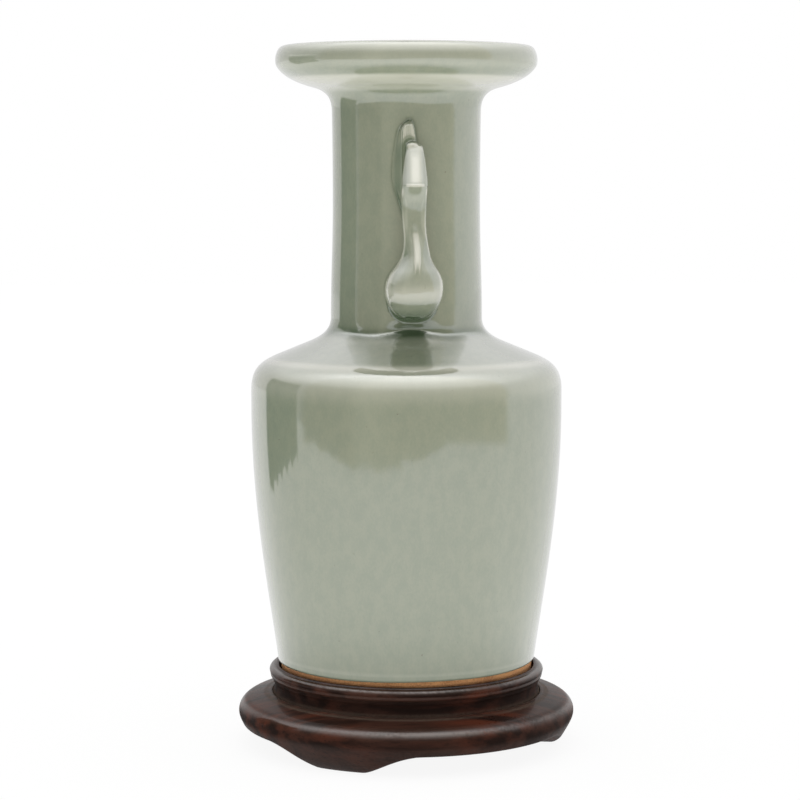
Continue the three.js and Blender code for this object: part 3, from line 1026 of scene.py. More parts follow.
    def foot_ring(self) -> Skin:
        """The bare ring that the vase stands on, with worn arrises.

        Returns:
            The closed surface.
        """
        inner = self.foot - self.ring_width
        floor = low("vase_foot_ring")
        outer_foot = self.foot - self.ring_taper
        arris = self.ring_arris
        outside = Pen(outer_foot - arris, floor)
        outside.sweep(outer_foot, floor + arris, (0.55, 0.0), (1.0, 0.45)).line(self.foot, self.edge)
        over = Pen(self.foot, self.edge).line(inner, self.edge)
        inside = Pen(inner, self.edge).line(inner, floor + arris)
        inside.sweep(inner + arris, floor, (0.0, 0.55), (0.45, 1.0))
        under = Pen(inner + arris, floor).line(outer_foot - arris, floor)
        return closed(turned(outside, over, inside, under))

    def build(self, glaze: Material, clay: Material) -> None:
        """Makes the sections and dresses them.

        Args:
            glaze: finish of the sections.
            clay: finish of the bare foot ring.
        """
        settle(self.foot_ring().mesh("vase_foot"), clay, Body.VASE, Slot.CLAY, "vase_foot_ring")
        sections = {
            "vase_base": self.base(),
            "vase_belly": self.section("edge", "hip"),
            "vase_shoulder": self.section("hip", "collar"),
            "vase_neck": self.section("collar", "throat"),
            "vase_dish_mouth": self.dish(),
        }
        for node, skin in sections.items():
            settle(skin.mesh(f"{node}_glazed"), glaze, Body.VASE, Slot.GLAZE, node)

    def neck_distance(self, points: Array) -> Array:
        """How far points lie outside the neck's surface.

        Args:
            points: any points near the neck.

        Returns:
            The distance of each, below zero inside.
        """
        stops = self.pen.stops
        rows = self.pen.outline()[stops["hip_out"] : stops["throat_out"] + self.rows_above]
        radius = np.interp(points[:, 2], rows[:, 1], rows[:, 0])
        angle = np.arctan2(points[:, 1], points[:, 0])
        return off_axis(points) - radius - hand_thrown(angle, points[:, 2])


def union(first: Array, second: Array, fillet: float | Array) -> Array:
    """Joins two solids, given as distances from their surfaces, with a fillet."""
    near = np.maximum(fillet - np.abs(first - second), 0.0) / fillet
    return np.minimum(first, second) - near * near * fillet / 4


def overlap(first: Array, second: Array, round_off: float) -> Array:
    """Keeps what two solids share, with a rounded edge."""
    return -union(-first, -second, round_off)


def surface_net(distance: Callable, corners: tuple[Triple, Triple], step: float) -> tuple[Array, Array]:
    """Finds the surface where a distance is zero, as four-sided faces.

    Args:
        distance: signed distance of an array of points, below zero inside.
        corners: lowest and highest corner of the space to search.
        step: spacing of the samples.

    Returns:
        Points, and faces that look outwards.
    """
    axes = [np.arange(start, end + step, step) for start, end in zip(*corners)]
    grid = np.stack(np.meshgrid(*axes, indexing="ij"), axis=-1)
    value = distance(grid.reshape(-1, 3)).reshape(grid.shape[:3])
    cells = np.array(value.shape) - 1
    total = np.zeros((*cells, 3))
    count = np.zeros(cells)
    edges = []
    for axis in range(3):
        others = [other for other in range(3) if other != axis]
        ahead = np.take(value, range(1, value.shape[axis]), axis)
        here = np.take(value, range(value.shape[axis] - 1), axis)
        crossed = (here < 0) != (ahead < 0)
        found = np.argwhere(crossed)
        edges.append((axis, found, here[crossed] < 0))
        share = here[crossed] / (here[crossed] - ahead[crossed])
        point = grid[tuple(found.T)] + step * share[:, None] * np.eye(3)[axis]
        for shift in itertools.product((0, 1), repeat=2):
            cell = found.copy()
            cell[:, others] -= shift
            inside = ((cell >= 0) & (cell < cells)).all(axis=1)
            np.add.at(total, tuple(cell[inside].T), point[inside])
            np.add.at(count, tuple(cell[inside].T), 1.0)
    used = count > 0
    index = np.full(cells, -1)
    index[used] = np.arange(used.sum())
    faces = []
    for axis, found, starts_inside in edges:
        side, rise = np.eye(3, dtype=int)[(axis + 1) % 3], np.eye(3, dtype=int)[(axis + 2) % 3]
        around = [found - side - rise, found - rise, found, found - side]
        kept = ((found - side - rise >= 0) & (found < cells)).all(axis=1)
        quad = np.stack([index[tuple(cell[kept].T)] for cell in around], axis=1)
        quad[~starts_inside[kept]] = quad[~starts_inside[kept]][:, ::-1]
        faces.append(quad)
    return total[used] / count[used][:, None], np.concatenate(faces)


def slope_of(distance: Callable, points: Array, step: float = 0.02) -> Array:
    """The direction and rate in which a distance grows at points."""
    sides = [distance(points + step * axis) - distance(points - step * axis) for axis in np.eye(3)]
    return np.stack(sides, axis=1) / (2 * step)


@dataclass
class BirdHandle:
    """A modelled bird on the neck: round breast, slim neck, head with a beak ridge, and a crest on a web.

    X points out from the vase's axis and Y across the handle. Stations give a size at each height.
    """

    vase: VaseBody
    step: float = 0.34
    search: tuple[Triple, Triple] = ((27.0, -14.0, 174.0), (46.5, 14.0, 262.5))  # the space that holds it
    half_width: Stations = (
        (190.5, 11.75), (193.5, 11.3), (196.5, 10.0), (199.6, 7.9), (202.6, 6.15), (205.6, 5.25), (210.2, 4.72),
        (214.7, 4.68), (219.3, 4.85), (224.0, 5.0), (229.0, 5.1), (232.8, 5.14), (236.0, 4.85), (238.8, 4.5),
        (243.0, 3.93), (246.6, 3.14), (248.4, 2.5),
    )
    front: Stations = (
        (190.5, 44.8), (193.0, 44.7), (196.0, 44.3), (200.0, 43.3), (204.0, 42.0), (208.0, 40.6),
        (211.0, 39.7), (214.0, 39.1), (217.0, 38.9), (221.0, 38.95), (223.0, 39.3), (225.0, 39.9),
        (227.0, 40.85), (228.5, 41.95), (230.0, 43.3), (231.2, 44.5), (234.0, 47.5),
    )
    head_front: Stations = (
        (226.0, 47.0), (231.3, 44.3), (234.0, 42.9), (237.0, 41.2), (240.0, 39.5), (243.0, 37.8),
        (246.0, 36.1), (247.4, 35.3),
    )
    back: Stations = (
        (190.5, 22.2), (196.0, 22.2), (200.0, 24.5), (203.5, 29.5), (206.5, 33.4), (209.5, 35.0), (214.0, 35.4),
        (220.0, 35.2), (226.0, 34.2), (234.0, 33.0), (248.0, 32.0),
    )
    roundness: Stations = (
        (190.5, 2.0), (196.0, 1.8), (203.0, 1.55), (213.0, 1.55), (219.0, 1.7), (224.0, 1.85),
        (230.6, 1.9), (233.0, 1.75), (240.0, 1.8), (247.0, 2.1),
    )
    ridge_round: float = 0.2  # share of the half width over which the front is rounded
    sway: Stations = (
        (178.0, 0.1), (191.0, 0.25), (199.0, 0.75), (205.0, 0.85), (210.0, 0.5), (216.0, 0.0),
        (228.0, 0.0), (236.0, 0.25), (246.0, 0.5),
    )
    breast_drop: float = 12.6  # from the breast's widest level to its lowest point
    beak_round: float = 0.25
    beak_level: float = 231.4
    head_top: float = 247.4
    cap: tuple[Triple, Triple] = ((34.4, -0.4, 246.4), (1.5, 2.6, 2.2))  # centre and radii
    rib: float = 0.4  # height of the rib down the slim neck
    rib_half_width: float = 1.25
    rib_span: Span = (193.0, 6.0, 217.0, 4.0)
    web_half_width: Stations = (
        (216.0, 2.8), (236.0, 3.2), (243.0, 3.0), (249.0, 2.65), (251.3, 2.55), (254.4, 2.05),
        (255.9, 1.25), (256.8, 0.6), (257.4, 0.2),
    )
    web_flare: Stations = (  # how much wider the web is towards the neck, for each millimetre of its depth
        (214.0, 0.0), (220.0, 0.1), (226.0, 0.36), (232.0, 0.58), (240.0, 0.62), (246.0, 0.52),
        (251.0, 0.36), (257.5, 0.15),
    )
    web_sway: Stations = (
        (216.0, -0.3), (228.0, -1.0), (240.0, -1.3), (249.0, -1.75), (254.4, -1.85), (256.8, -1.2),
    )
    web_front: Stations = (
        (216.0, 34.8), (240.0, 33.9), (246.0, 33.7), (250.0, 33.9), (254.0, 33.5), (257.5, 33.0),
    )
    web_foot: float = 220.6
    crest_tip: float = 256.3
    crest_lines: float = 1.0  # spacing of the lines cut down the crest
    root_fillet: Stations = (
        (176.0, 2.8), (181.0, 2.4), (185.0, 1.2), (205.0, 1.0), (218.0, 0.8), (246.0, 0.8), (253.0, 0.8),
    )
    glaze_drain_and_light: Stations = (  # glaze depth before edges and hollows count; also painted light and shade
        # the deepest stations paint shade at the root, the shallowest paint light on the lower breast
        (178.0, 1.0), (180.5, 0.85), (183.0, 0.62), (185.0, 0.3), (187.5, 0.14), (193.0, 0.28),
        (200.0, 0.4), (208.0, 0.45), (214.0, 0.55), (221.0, 0.5), (225.0, 0.34), (230.0, 0.34),
        (233.0, 0.3), (246.0, 0.26), (250.0, 0.14), (257.0, 0.16),
    )
    rib_highlight_span: Span = (195.0, 6.0, 214.5, 3.0)  # where a pale highlight is painted down the rib
    edge_highlight_span: Span = (187.0, 1.0, 231.0, 2.0)  # and down the sides
    ridge_highlight_span: Span = (232.0, 1.0, 245.0, 4.0)  # and down the head's ridge
    root_depth: float = 1.0  # the handle's foot lies this deep in the neck
    skirt: float = 0.012  # least height of the fillet over the neck

    @staticmethod
    def egg(points: Array, centre: Triple, radii: Triple) -> Array:
        """Distance from an egg shape."""
        return (np.linalg.norm((points - centre) / radii, axis=1) - 1.0) * min(radii)

    def bird(self, points: Array) -> Array:
        """Breast, slim neck and head in one, with the beak as a ridge, and the small cap behind the head.

        Args:
            points: any points near the handle.

        Returns:
            The distance of each from the surface, below zero inside.
        """
        height = points[:, 2]
        front = union(through(self.front, height), through(self.head_front, height), self.beak_round)
        back = through(self.back, height)
        half_depth = (front - back) / 2
        half_width = through(self.half_width, height)
        aside = points[:, 1] - through(self.sway, height)
        across = np.hypot(aside / half_width, self.ridge_round)
        across = (across - self.ridge_round) / (np.hypot(1.0, self.ridge_round) - self.ridge_round)
        out = np.abs(points[:, 0] - (front + back) / 2) / half_depth
        below = np.maximum(self.half_width[0][0] - height, 0.0) / self.breast_drop
        power = through(self.roundness, height)
        far = (across**power + out**power + below**power) ** (1.0 / power)
        rib = self.rib * hump(aside, self.rib_half_width, 4) * window(height, *self.rib_span)
        rib *= ease((points[:, 0] - 36.0) / 2.0)
        body = (far - 1.0) * np.minimum(half_width, half_depth) - rib
        return union(overlap(body, height - self.head_top, 0.9), self.egg(points, *self.cap), 0.5)

    def web(self, points: Array) -> Array:
        """The web behind the head: wider towards the neck, and above it a crest with fine lines.

        Args:
            points: any points near the handle.

        Returns:
            The distance of each from the surface, below zero inside.
        """
        height = points[:, 2]
        across = points[:, 1] - through(self.web_sway, height)
        lines = 0.035 * np.cos(2 * np.pi * across / self.crest_lines) * ease((height - 247.0) / 3.0)
        behind = through(self.web_front, height) - points[:, 0]
        left_side = 0.15 + 0.85 * ease(0.5 - across / 4.0)
        flare = through(self.web_flare, height) * np.maximum(behind, 0.0) * left_side
        side = (np.abs(across) - through(self.web_half_width, height) - flare) * 0.9
        face = -0.9 * behind + lines
        foot = 0.75 * (self.web_foot + 0.9 * (points[:, 0] - 33.0) - height)
        over = 0.9 * (height - self.crest_tip + 0.5 * (points[:, 0] - 32.0))
        return overlap(overlap(overlap(side, face, 0.6), foot, 2.4), over, 0.8)

    def bare(self, points: Array) -> Array:
        """The whole bird without the vase."""
        return union(self.bird(points), self.web(points), 0.7)

    def on_neck(self, points: Array) -> Array:
        """The bird joined to the neck with a fillet of glaze."""
        fillet = through(self.root_fillet, points[:, 2])
        return union(self.vase.neck_distance(points), self.bare(points), fillet)

    def solid(self, points: Array) -> Array:
        """What stands out of the neck, with a shallow foot in it.

        Args:
            points: any points near the handle.

        Returns:
            The distance of each from the surface, below zero inside.
        """
        neck = self.vase.neck_distance(points)
        joined = self.on_neck(points)
        only_handle = 8.0 * (joined - neck + self.skirt)
        return np.maximum(np.maximum(joined, only_handle), -(neck + self.root_depth))

    def skin(self) -> Skin:
        """Finds the handle's surface and its normals.

        Returns:
            The closed surface with its marks.
        """
        points, faces = surface_net(self.solid, self.search, self.step)
        for _ in range(3):
            slope = slope_of(self.solid, points)
            pull = self.solid(points) / np.maximum((slope * slope).sum(axis=1), 0.1)
            points -= np.clip(pull, -0.2, 0.2)[:, None] * slope
        normals = slope_of(self.on_neck, points)
        normals /= np.maximum(np.linalg.norm(normals, axis=1, keepdims=True), TINY)
        marks = {Mark.GLAZE_DEPTH_AND_LIGHT: self.glaze_depth(points, normals)}
        return Skin(points, faces.tolist(), normals[faces].reshape(-1, 3), marks)

    def glaze_depth(self, points: Array, normals: Array) -> Array:
        """How thick the glaze lies: thin on edges and ridges, thick in hollows, with painted highlights and
        shade.

        Args:
            points: points of the surface.
            normals: its outward direction at each.

        Returns:
            The mark at each point.
        """
        reach_in, reach_out = 1.6, 2.2
        thin = 1.0 + self.on_neck(points - reach_in * normals) / reach_in
        pooled = 1.0 - self.on_neck(points + reach_out * normals) / reach_out
        out, across, height = points.T
        aside = np.abs(across - through(self.sway, height))
        beak = hump(height - self.beak_level, 0.38) * ease(out - 41.0) * ease((3.9 - np.abs(across)) / 0.8)
        # painted highlight down the rib, with painted dark reflection lines beside it
        rib = 0.42 * hump(aside, 1.5, 4) - 0.2 * hump(aside - 2.1, 0.45)
        rib *= ease(out - 38.0) * window(height, *self.rib_highlight_span)
        # painted highlight down the head's ridge
        ridge_highlight = hump(aside, 1.8) * window(height, *self.ridge_highlight_span) * ease(out - 36.0)
        # painted highlights down the sides
        edge = ease((aside / through(self.half_width, height) - 0.8) / 0.14) * ease((out - 34.5) / 1.5)
        edge *= window(height, *self.edge_highlight_span)
        # the rib, head-ridge and side terms are painted highlights; the beak and convex-edge terms are thin
        # glaze
        thinner_and_lit = 0.4 * beak + rib + 0.28 * ridge_highlight + 0.3 * edge + 0.9 * np.clip(thin - 0.06, 0, 1)
        cap = ease(height - 247.2) * ease(out - 34.4)
        # painted shade on the web behind the head
        behind = ease((33.6 - out) / 1.5) * ease((height - 221.0) / 6.0)
        # the web behind the head is painted shade; the cap and the hollows are deeper glaze
        thicker_and_shaded = 0.35 * cap + 0.4 * behind + 2.6 * np.clip(pooled - 0.06, 0, 1)
        return np.clip(through(self.glaze_drain_and_light, height) - thinner_and_lit + thicker_and_shaded, 0.0, 1.0)

    def build(self, glaze: Material) -> None:
        """Makes both handles and dresses them.

        Args:
            glaze: their finish.
        """
        right = self.skin()
        for side, skin in (("right", right), ("left", right.turned_round())):
            nodes = (f"handle_bird_{side}", f"handle_crest_{side}")
            settle(skin.mesh(f"bird_handle_{side}"), glaze, Body.VASE, Slot.GLAZE, *nodes)


@dataclass
class Stand:
    """The turned stand: plinth, gallery, floor, three bracket feet and their dowels."""

    feet: int = 3
    pad: float = 9.5  # half the width of a foot on the table
    wing: float = 31.5  # half the width of a foot under the plinth
    wing_cut: float = 0.12  # share of the wing that is too thin to carve
    ogee: float = 0.82  # below 1 the foot swells less before its wings run out
    foot_depth: float = 15.0
    widest_level: float = 13.6
    face_lean: float = 0.65
    face_turn: float = 3.0
    foot_tuck: float = 1.3  # of the face towards the table
    arris_plinth: float = 0.8
    arris_foot: float = 0.9
    least_foot: float = 0.25  # height of a foot where its wings run out
    shoulder_inset: float = 5.2
    shoulder_level: float = 19.6
    seat_ledge: float = 8.0
    floor_arris: float = 0.6
    gallery_wall: float = 2.7
    bead: float = 3.7
    small_bead: float = 1.5
    face_shade: float = 0.42  # painted shade on the lower face and the feet, which are also duller
    face_wear: float = 0.5
    shoulder_wear: float = 0.9
    slope_wear: float = 0.14
    line_highlight: float = 0.8  # painted highlight line of a small edge, a little out from the gallery
    small_bead_wear: float = 0.5
    # painted shade in the waist, below the small bead
    waist_shade: float = 0.55
    waist_dust: float = 0.5
    groove_dust: float = 0.12
    floor_wear: float = 0.15
    floor_dust: float = 0.1
    dowel_radius: float = 2.0
    dowel_length: float = 11.0
    dowel_inset: float = 9.4  # from the plinth's lower edge
    dowel_spacing: float = 9.0
    dowel_flutes: int = 12

    def __post_init__(self) -> None:
        """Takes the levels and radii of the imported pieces."""
        self.plinth_foot = low("stand_plinth")
        self.plinth_top = top("stand_plinth")
        self.widest = reach("stand_plinth")
        self.seat = low("stand_gallery")
        self.gallery_top = top("stand_gallery")
        self.floor_radius = reach("stand_floor")
        self.gallery_bore = self.floor_radius + 0.3
        self.waist = self.gallery_bore + self.gallery_wall
        self.rebate = self.waist + 0.1
        self.plinth_bore = self.floor_radius - self.seat_ledge
        ends = [corner for row in (1, 2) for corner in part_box(f"foot_dowel_back_{row}")]
        self.first_turn = math.atan2(sum(end.y for end in ends), sum(end.x for end in ends))

    def face(self, height: Array) -> Array:
        """Radius of the outer face below the widest level, leaning in towards the table.

        Args:
            height: levels on the face.

        Returns:
            The radius at each.
        """
        drop = self.widest_level - height
        tuck = self.foot_tuck * np.maximum(1.0 - height / 5.0, 0.0) ** 2
        return self.widest - tuck - self.face_lean * (np.sqrt(drop * drop + self.face_turn**2) - self.face_turn)

    def lower_edge(self, sideways: Array) -> Array:
        """Height of the lower edge at a distance from a foot's middle: a pad, then an ogee up to the plinth."""
        along = np.clip((np.abs(sideways) - self.pad) / (self.wing - self.pad), 0.0, 1.0)
        return self.plinth_foot * ease(along**self.ogee)

    def off_foot(self, angle: Array) -> Array:
        """Distance round the stand from the middle of the nearest foot.

        Args:
            angle: bearings.

        Returns:
            The distance at each, below zero on one side.
        """
        part = 2 * np.pi / self.feet
        turn = (angle - self.first_turn + part / 2) % part - part / 2
        return self.face(0.0) * np.sin(turn)

    def edged_face(self, sideways: Array, height: Array) -> Array:
        """Radius of the outer face with its lower arris rounded.

        Args:
            sideways: distances from a foot's middle.
            height: levels on the face.

        Returns:
            The radius at each.
        """
        edge = self.lower_edge(sideways)
        arris = self.arris_foot + (self.arris_plinth - self.arris_foot) * edge / self.plinth_foot
        inset = 1.0 - np.clip((height - edge) / arris, 0.0, 1.0)
        return self.face(height) - arris * (1.0 - np.sqrt(1.0 - np.minimum(inset * inset, 1.0)))

    def plinth(self) -> Skin:
        """A ring with a round shoulder, sloping up to the sunk seat of the gallery.

        Returns:
            The closed surface with its marks.
        """
        quarter = np.linspace(0.0, np.pi / 2, 9)
        heights = self.plinth_foot + self.arris_plinth * (1.0 - np.cos(quarter))
        heights = np.concatenate([heights, np.linspace(heights[-1], self.widest_level, 6)[1:]])
        radius = self.edged_face(self.off_foot(AROUND), heights[:, None])
        lower = round_axis(radius, AROUND, heights[:, None])
        pen = Pen(self.widest, self.widest_level)
        pen.sweep(self.widest - self.shoulder_inset, self.shoulder_level, (0.0, 0.62), (0.52, 0.905))
        pen.sweep(self.rebate + 0.4, self.plinth_top - 0.1, (0.33, 0.33), (0.67, 0.7))
        pen.sweep(self.rebate, self.plinth_top - 0.5, (0.7, -0.2), (1.0, 0.4))
        over = spun(pen.outline()).points[1:]
        outside = wrapped(np.concatenate([lower, over]))
        inner = Pen(self.rebate, self.plinth_top - 0.5).line(self.rebate, self.seat)
        ledge = Pen(self.rebate, self.seat).line(self.plinth_bore, self.seat)
        bore = Pen(self.plinth_bore, self.seat).line(self.plinth_bore, self.plinth_foot)
        bands = [outside, *turned(inner, ledge, bore)]
        bands.append(joint_face(bands[-1], outside))
        marks = {Mark.WEAR: self.plinth_wear, Mark.PAINTED_SHADE: self.plinth_shade, Mark.DUST_AND_HIGHLIGHT: self.plinth_dust_and_highlight}
        return closed(marked(bands, marks))

    def plinth_wear(self, points: Array) -> Array:
        """Wear along the round shoulder, on the slope above it and on the lower face.

        Args:
            points: points of a band.

        Returns:
            The mark at each.
        """
        radius = off_axis(points)
        shoulder = hump(radius - self.widest + 1.5, 1.0) * ease((points[..., 2] - 14.5) / 2.5)
        slope = ease((self.widest - 2.5 - radius) / 2.0) * ease((points[..., 2] - 17.0) / 1.5)
        face = ease((12.6 - points[..., 2]) / 2.5) * (radius > self.widest - 8.0)
        return self.shoulder_wear * shoulder + self.slope_wear * slope + self.face_wear * face

    def plinth_shade(self, points: Array) -> Array:
        """Painted shade below the shoulder, where the wood is also duller."""
        return self.face_shade * ease((16.5 - points[..., 2]) / 2.5)

    def plinth_dust_and_highlight(self, points: Array) -> Array:
        """Dust where the plinth's top meets the gallery, and a pale line further out painted as a highlight.

        Args:
            points: points of a band.

        Returns:
            The mark at each.
        """
        radius = off_axis(points)
        near = np.exp(-np.maximum(radius - self.rebate, 0.0) / 0.5)
        # painted highlight line, in the colour of the dust
        line = self.line_highlight * hump(radius - self.rebate - 2.6, 0.8)
        return (near + line) * (points[..., 2] > self.plinth_top - 3.0)

    def gallery(self) -> Skin:
        """The ring round the vase's foot: waist, fillet, small bead, bead and inner lip.

        Returns:
            The closed surface with its marks.
        """
        bead_foot = self.gallery_top - self.bead
        small_foot = bead_foot - self.small_bead
        cove_radius = self.waist - 0.8
        bead_radius = self.waist + 1.3
        small_radius = self.waist + 0.95
        lip = self.gallery_bore + 1.1
        groove = self.gallery_top - 1.0
        pen = Pen(self.waist, self.seat).line(self.waist - 0.1, self.plinth_top - 0.2)
        pen.sweep(cove_radius, self.plinth_top + 2.2, (0.5, 0.2), (1.0, 0.5))
        pen.sweep(self.waist - 0.1, small_foot - 1.6, (0.0, 0.6), (0.3, 0.9))
        pen.sweep(self.waist - 0.25, small_foot - 0.4, (1.2, 0.3), (1.0, 0.6))
        pen.sweep(small_radius, small_foot + 0.75, (0.55, -0.1), (1.0, 0.35))
        pen.sweep(small_radius - 0.3, bead_foot, (0.0, 0.5), (0.35, 0.95))
        pen.sweep(bead_radius, bead_foot + self.bead * 0.27, (0.75, 0.02), (1.0, 0.5))
        pen.sweep(lip + 0.55, groove, (0.0, 0.5), (0.36, 1.2))
        pen.sweep(lip, self.gallery_top - 0.3, (0.35, -0.15), (0.62, 0.85))
        pen.sweep(self.gallery_bore + 0.1, self.gallery_top - 0.6, (0.5, -0.6), (0.95, 0.0))
        inside = Pen(self.gallery_bore + 0.1, self.gallery_top - 0.6).line(self.gallery_bore, self.seat)
        under = Pen(self.gallery_bore, self.seat).line(self.waist, self.seat)
        marks = {Mark.WEAR: self.gallery_wear, Mark.PAINTED_SHADE: self.gallery_shade, Mark.DUST_AND_HIGHLIGHT: self.gallery_dust}
        return closed(marked(turned(pen, inside, under), marks))

    def gallery_wear(self, points: Array) -> Array:
        """Wear along the tops of both beads.

        Args:
            points: points of a band.

        Returns:
            The mark at each.
        """
        over = ease((points[..., 2] - self.gallery_top + self.bead * 0.75) / 1.2)
        radius = off_axis(points)
        small = points[..., 2] - self.gallery_top + self.bead + 0.45
        small = self.small_bead_wear * hump(small, 0.45) * (radius > self.waist + 0.3)
        return small + over * (0.3 + 0.7 * ease((radius - self.gallery_bore - 1.4) / 0.6))

    def gallery_shade(self, points: Array) -> Array:
        """Painted shade in the waist and under the bead, where the wood is also duller."""
        small_foot = self.gallery_top - self.bead - self.small_bead
        return self.waist_shade * ease((small_foot + 0.6 - points[..., 2]) / 0.8)

    def gallery_dust(self, points: Array) -> Array:
        """Dust at the foot of the waist and in the groove under the small bead.

        Args:
            points: points of a band.

        Returns:
            The mark at each.
        """
        foot = hump(points[..., 2] - self.plinth_top, 0.7)
        groove = points[..., 2] - self.gallery_top + self.bead + self.small_bead + 0.4
        return self.waist_dust * foot + self.groove_dust * hump(groove, 0.35)

    def floor(self) -> Skin:
        """The round board that the vase stands on.

        Returns:
            The closed surface with its marks.
        """
        bands = disc(self.floor_radius, self.seat, top("stand_floor"), self.floor_arris)
        marks = {Mark.WEAR: lambda points: self.floor_wear, Mark.DUST_AND_HIGHLIGHT: lambda points: self.floor_dust}
        return closed(marked(bands, marks))

    def foot(self) -> Skin:
        """One bracket foot that points along +X: its face runs on from the plinth's.

        Returns:
            The closed surface with its marks.
        """
        reach_out = np.sqrt(np.linspace(0.0, 1.0, 40)[1:])
        sideways = np.concatenate([-reach_out[::-1], [0.0], reach_out])
        limit = self.wing - self.wing_cut * (self.wing - self.pad)
        sideways = np.sign(sideways) * limit * np.abs(sideways)
        edge = np.minimum(self.lower_edge(sideways), self.plinth_foot - self.least_foot)
        rise = 1.0 - np.cos(np.linspace(0.0, np.pi / 2, 15))
        angle = np.arcsin(sideways / self.face(0.0))
        inner = self.face(self.plinth_foot) - self.foot_depth
        loops = []
        for turn, aside, foot_edge in zip(angle, sideways, edge):
            height = foot_edge + (self.plinth_foot - foot_edge) * rise
            radius = self.edged_face(np.full_like(height, aside), height)
            inward = np.linspace(radius[0], inner, 5)[:-1][::-1]
            ring_radius = np.concatenate([radius, [inner, inner], inward[:-1]])
            ring_height = np.concatenate([height, [self.plinth_foot, foot_edge], np.full(3, foot_edge)])
            loops.append(round_axis(ring_radius, turn, ring_height))
        points = np.stack(loops)
        count, size = points.shape[:2]
        index = np.arange(count * size).reshape(count, size)
        quads = np.stack([index[:-1], index[1:], np.roll(index[1:], -1, 1), np.roll(index[:-1], -1, 1)], axis=2)
        faces = quads.reshape(-1, 4).tolist()
        faces.append(index[0].tolist())
        faces.append(index[-1][::-1].tolist())
        flat = points.reshape(-1, 3)
        every = np.ones(len(flat))
        marks = {Mark.WEAR: self.face_wear * every, Mark.PAINTED_SHADE: self.face_shade * every}
        return Skin(flat, faces, None, marks)

    def build(self, wood: Material, dowel_wood: Material) -> None:
        """Makes the pieces and dresses them.

        Args:
            wood: finish of all that shows.
            dowel_wood: finish of the dowels.
        """
        turned_pieces = {
            "stand_plinth": self.plinth(),
            "stand_gallery": self.gallery(),
            "stand_floor": self.floor(),
        }
        for node, skin in turned_pieces.items():
            settle(skin.mesh(f"{node}_turned"), wood, Body.STAND, Slot.ROSEWOOD, node)
        places = ("back", "left", "right")
        ring = RingOfCopies(self.feet, self.first_turn)
        feet = ring.apply(self.foot().mesh("stand_feet"), wood)
        settle(feet, wood, Body.STAND, Slot.ROSEWOOD, *(f"stand_foot_{place}" for place in places))
        circle = self.face(self.plinth_foot) - self.dowel_inset
        dowel = FlutedDowels(self, circle).apply("foot_dowels", dowel_wood)
        nodes = [f"foot_dowel_{place}_{row}" for place in places for row in (1, 2)]
        settle(ring.apply(dowel, dowel_wood), dowel_wood, Body.STAND, Slot.DOWEL, *nodes)


def geometry_tree(name: str, sockets: dict[str, str]) -> tuple[Graph, bpy.types.Node, dict[str, str]]:
    """Starts a Geometry Nodes tree that ends in Realize Instances and Set Material.

    Args:
        name: name of the tree.
        sockets: kind of each named input besides the geometry.

    Returns:
        The graph, its input node and the identifier of each named input.
    """
    tree = bpy.data.node_groups.new(name, "GeometryNodeTree")
    tree.is_modifier = True
    tree.interface.new_socket(name="Geometry", in_out="INPUT", socket_type="NodeSocketGeometry")
    found = {}
    for socket, kind in (sockets | {"Material": "NodeSocketMaterial"}).items():
        found[socket] = tree.interface.new_socket(name=socket, in_out="INPUT", socket_type=kind).identifier
    tree.interface.new_socket(name="Geometry", in_out="OUTPUT", socket_type="NodeSocketGeometry")
    return Graph(tree), tree.nodes.new("NodeGroupInput"), found


def end_tree(graph: Graph, entry: bpy.types.Node, geometry: Socket) -> None:
    """Realizes the instances, sets the material and ends the tree.

    Args:
        graph: the tree.
        entry: its input node.
        geometry: what it has built.
    """
    real = graph.node("GeometryNodeRealizeInstances", {"Geometry": geometry}).outputs[0]
    dressed = graph.node("GeometryNodeSetMaterial", {"Geometry": real, "Material": entry.outputs["Material"]})
    graph.node("NodeGroupOutput", {"Geometry": dressed.outputs[0]})


def run_tree(mesh: Mesh, graph: Graph, found: dict[str, str], values: dict) -> Mesh:
    """Runs a tree on a mesh.

    Args:
        mesh: the mesh that goes in.
        graph: the finished tree.
        found: the identifier of each named input.
        values: the input values by name.

    Returns:
        The result as a plain mesh with the same name.
    """
    name = mesh.name
    holder = placed(name, mesh)
    modifier = holder.modifiers.new(graph.tree.name, "NODES")
    modifier.node_group = graph.tree
    for socket, value in values.items():
        modifier[found[socket]] = value
    depsgraph = bpy.context.evaluated_depsgraph_get()
    made = bpy.data.meshes.new_from_object(holder.evaluated_get(depsgraph))
    holder.modifiers.remove(modifier)
    bpy.data.objects.remove(holder)
    mesh.name = f"{name}_single"
    made.name = name
    return made


@dataclass
class RingOfCopies:
    """Copies of one piece, set round the axis by Geometry Nodes."""

    count: int
    first_turn: float

    def apply(self, mesh: Mesh, material: Material) -> Mesh:
        """Sets the copies.

        Args:
            mesh: the piece, pointing along +X.
            material: its finish.

        Returns:
            One plain mesh with all copies.
        """
        sockets = {"Count": "NodeSocketInt", "First Turn": "NodeSocketFloat", "Turn": "NodeSocketFloat"}
        graph, entry, found = geometry_tree(f"ring_of_{mesh.name}", sockets)
        points = graph.node("GeometryNodePoints", {"Count": entry.outputs["Count"]}).outputs[0]
        index = graph.node("GeometryNodeInputIndex").outputs[0]
        turn = graph.total(index, entry.outputs["Turn"], entry.outputs["First Turn"])
        rotation = graph.node("ShaderNodeCombineXYZ", {"Z": turn}).outputs[0]
        inputs = {"Points": points, "Instance": entry.outputs["Geometry"], "Rotation": rotation}
        copies = graph.node("GeometryNodeInstanceOnPoints", inputs).outputs[0]
        end_tree(graph, entry, copies)
        values = {
            "Count": self.count,
            "First Turn": self.first_turn,
            "Turn": 2 * math.pi / self.count,
            "Material": material,
        }
        return run_tree(mesh, graph, found, values)


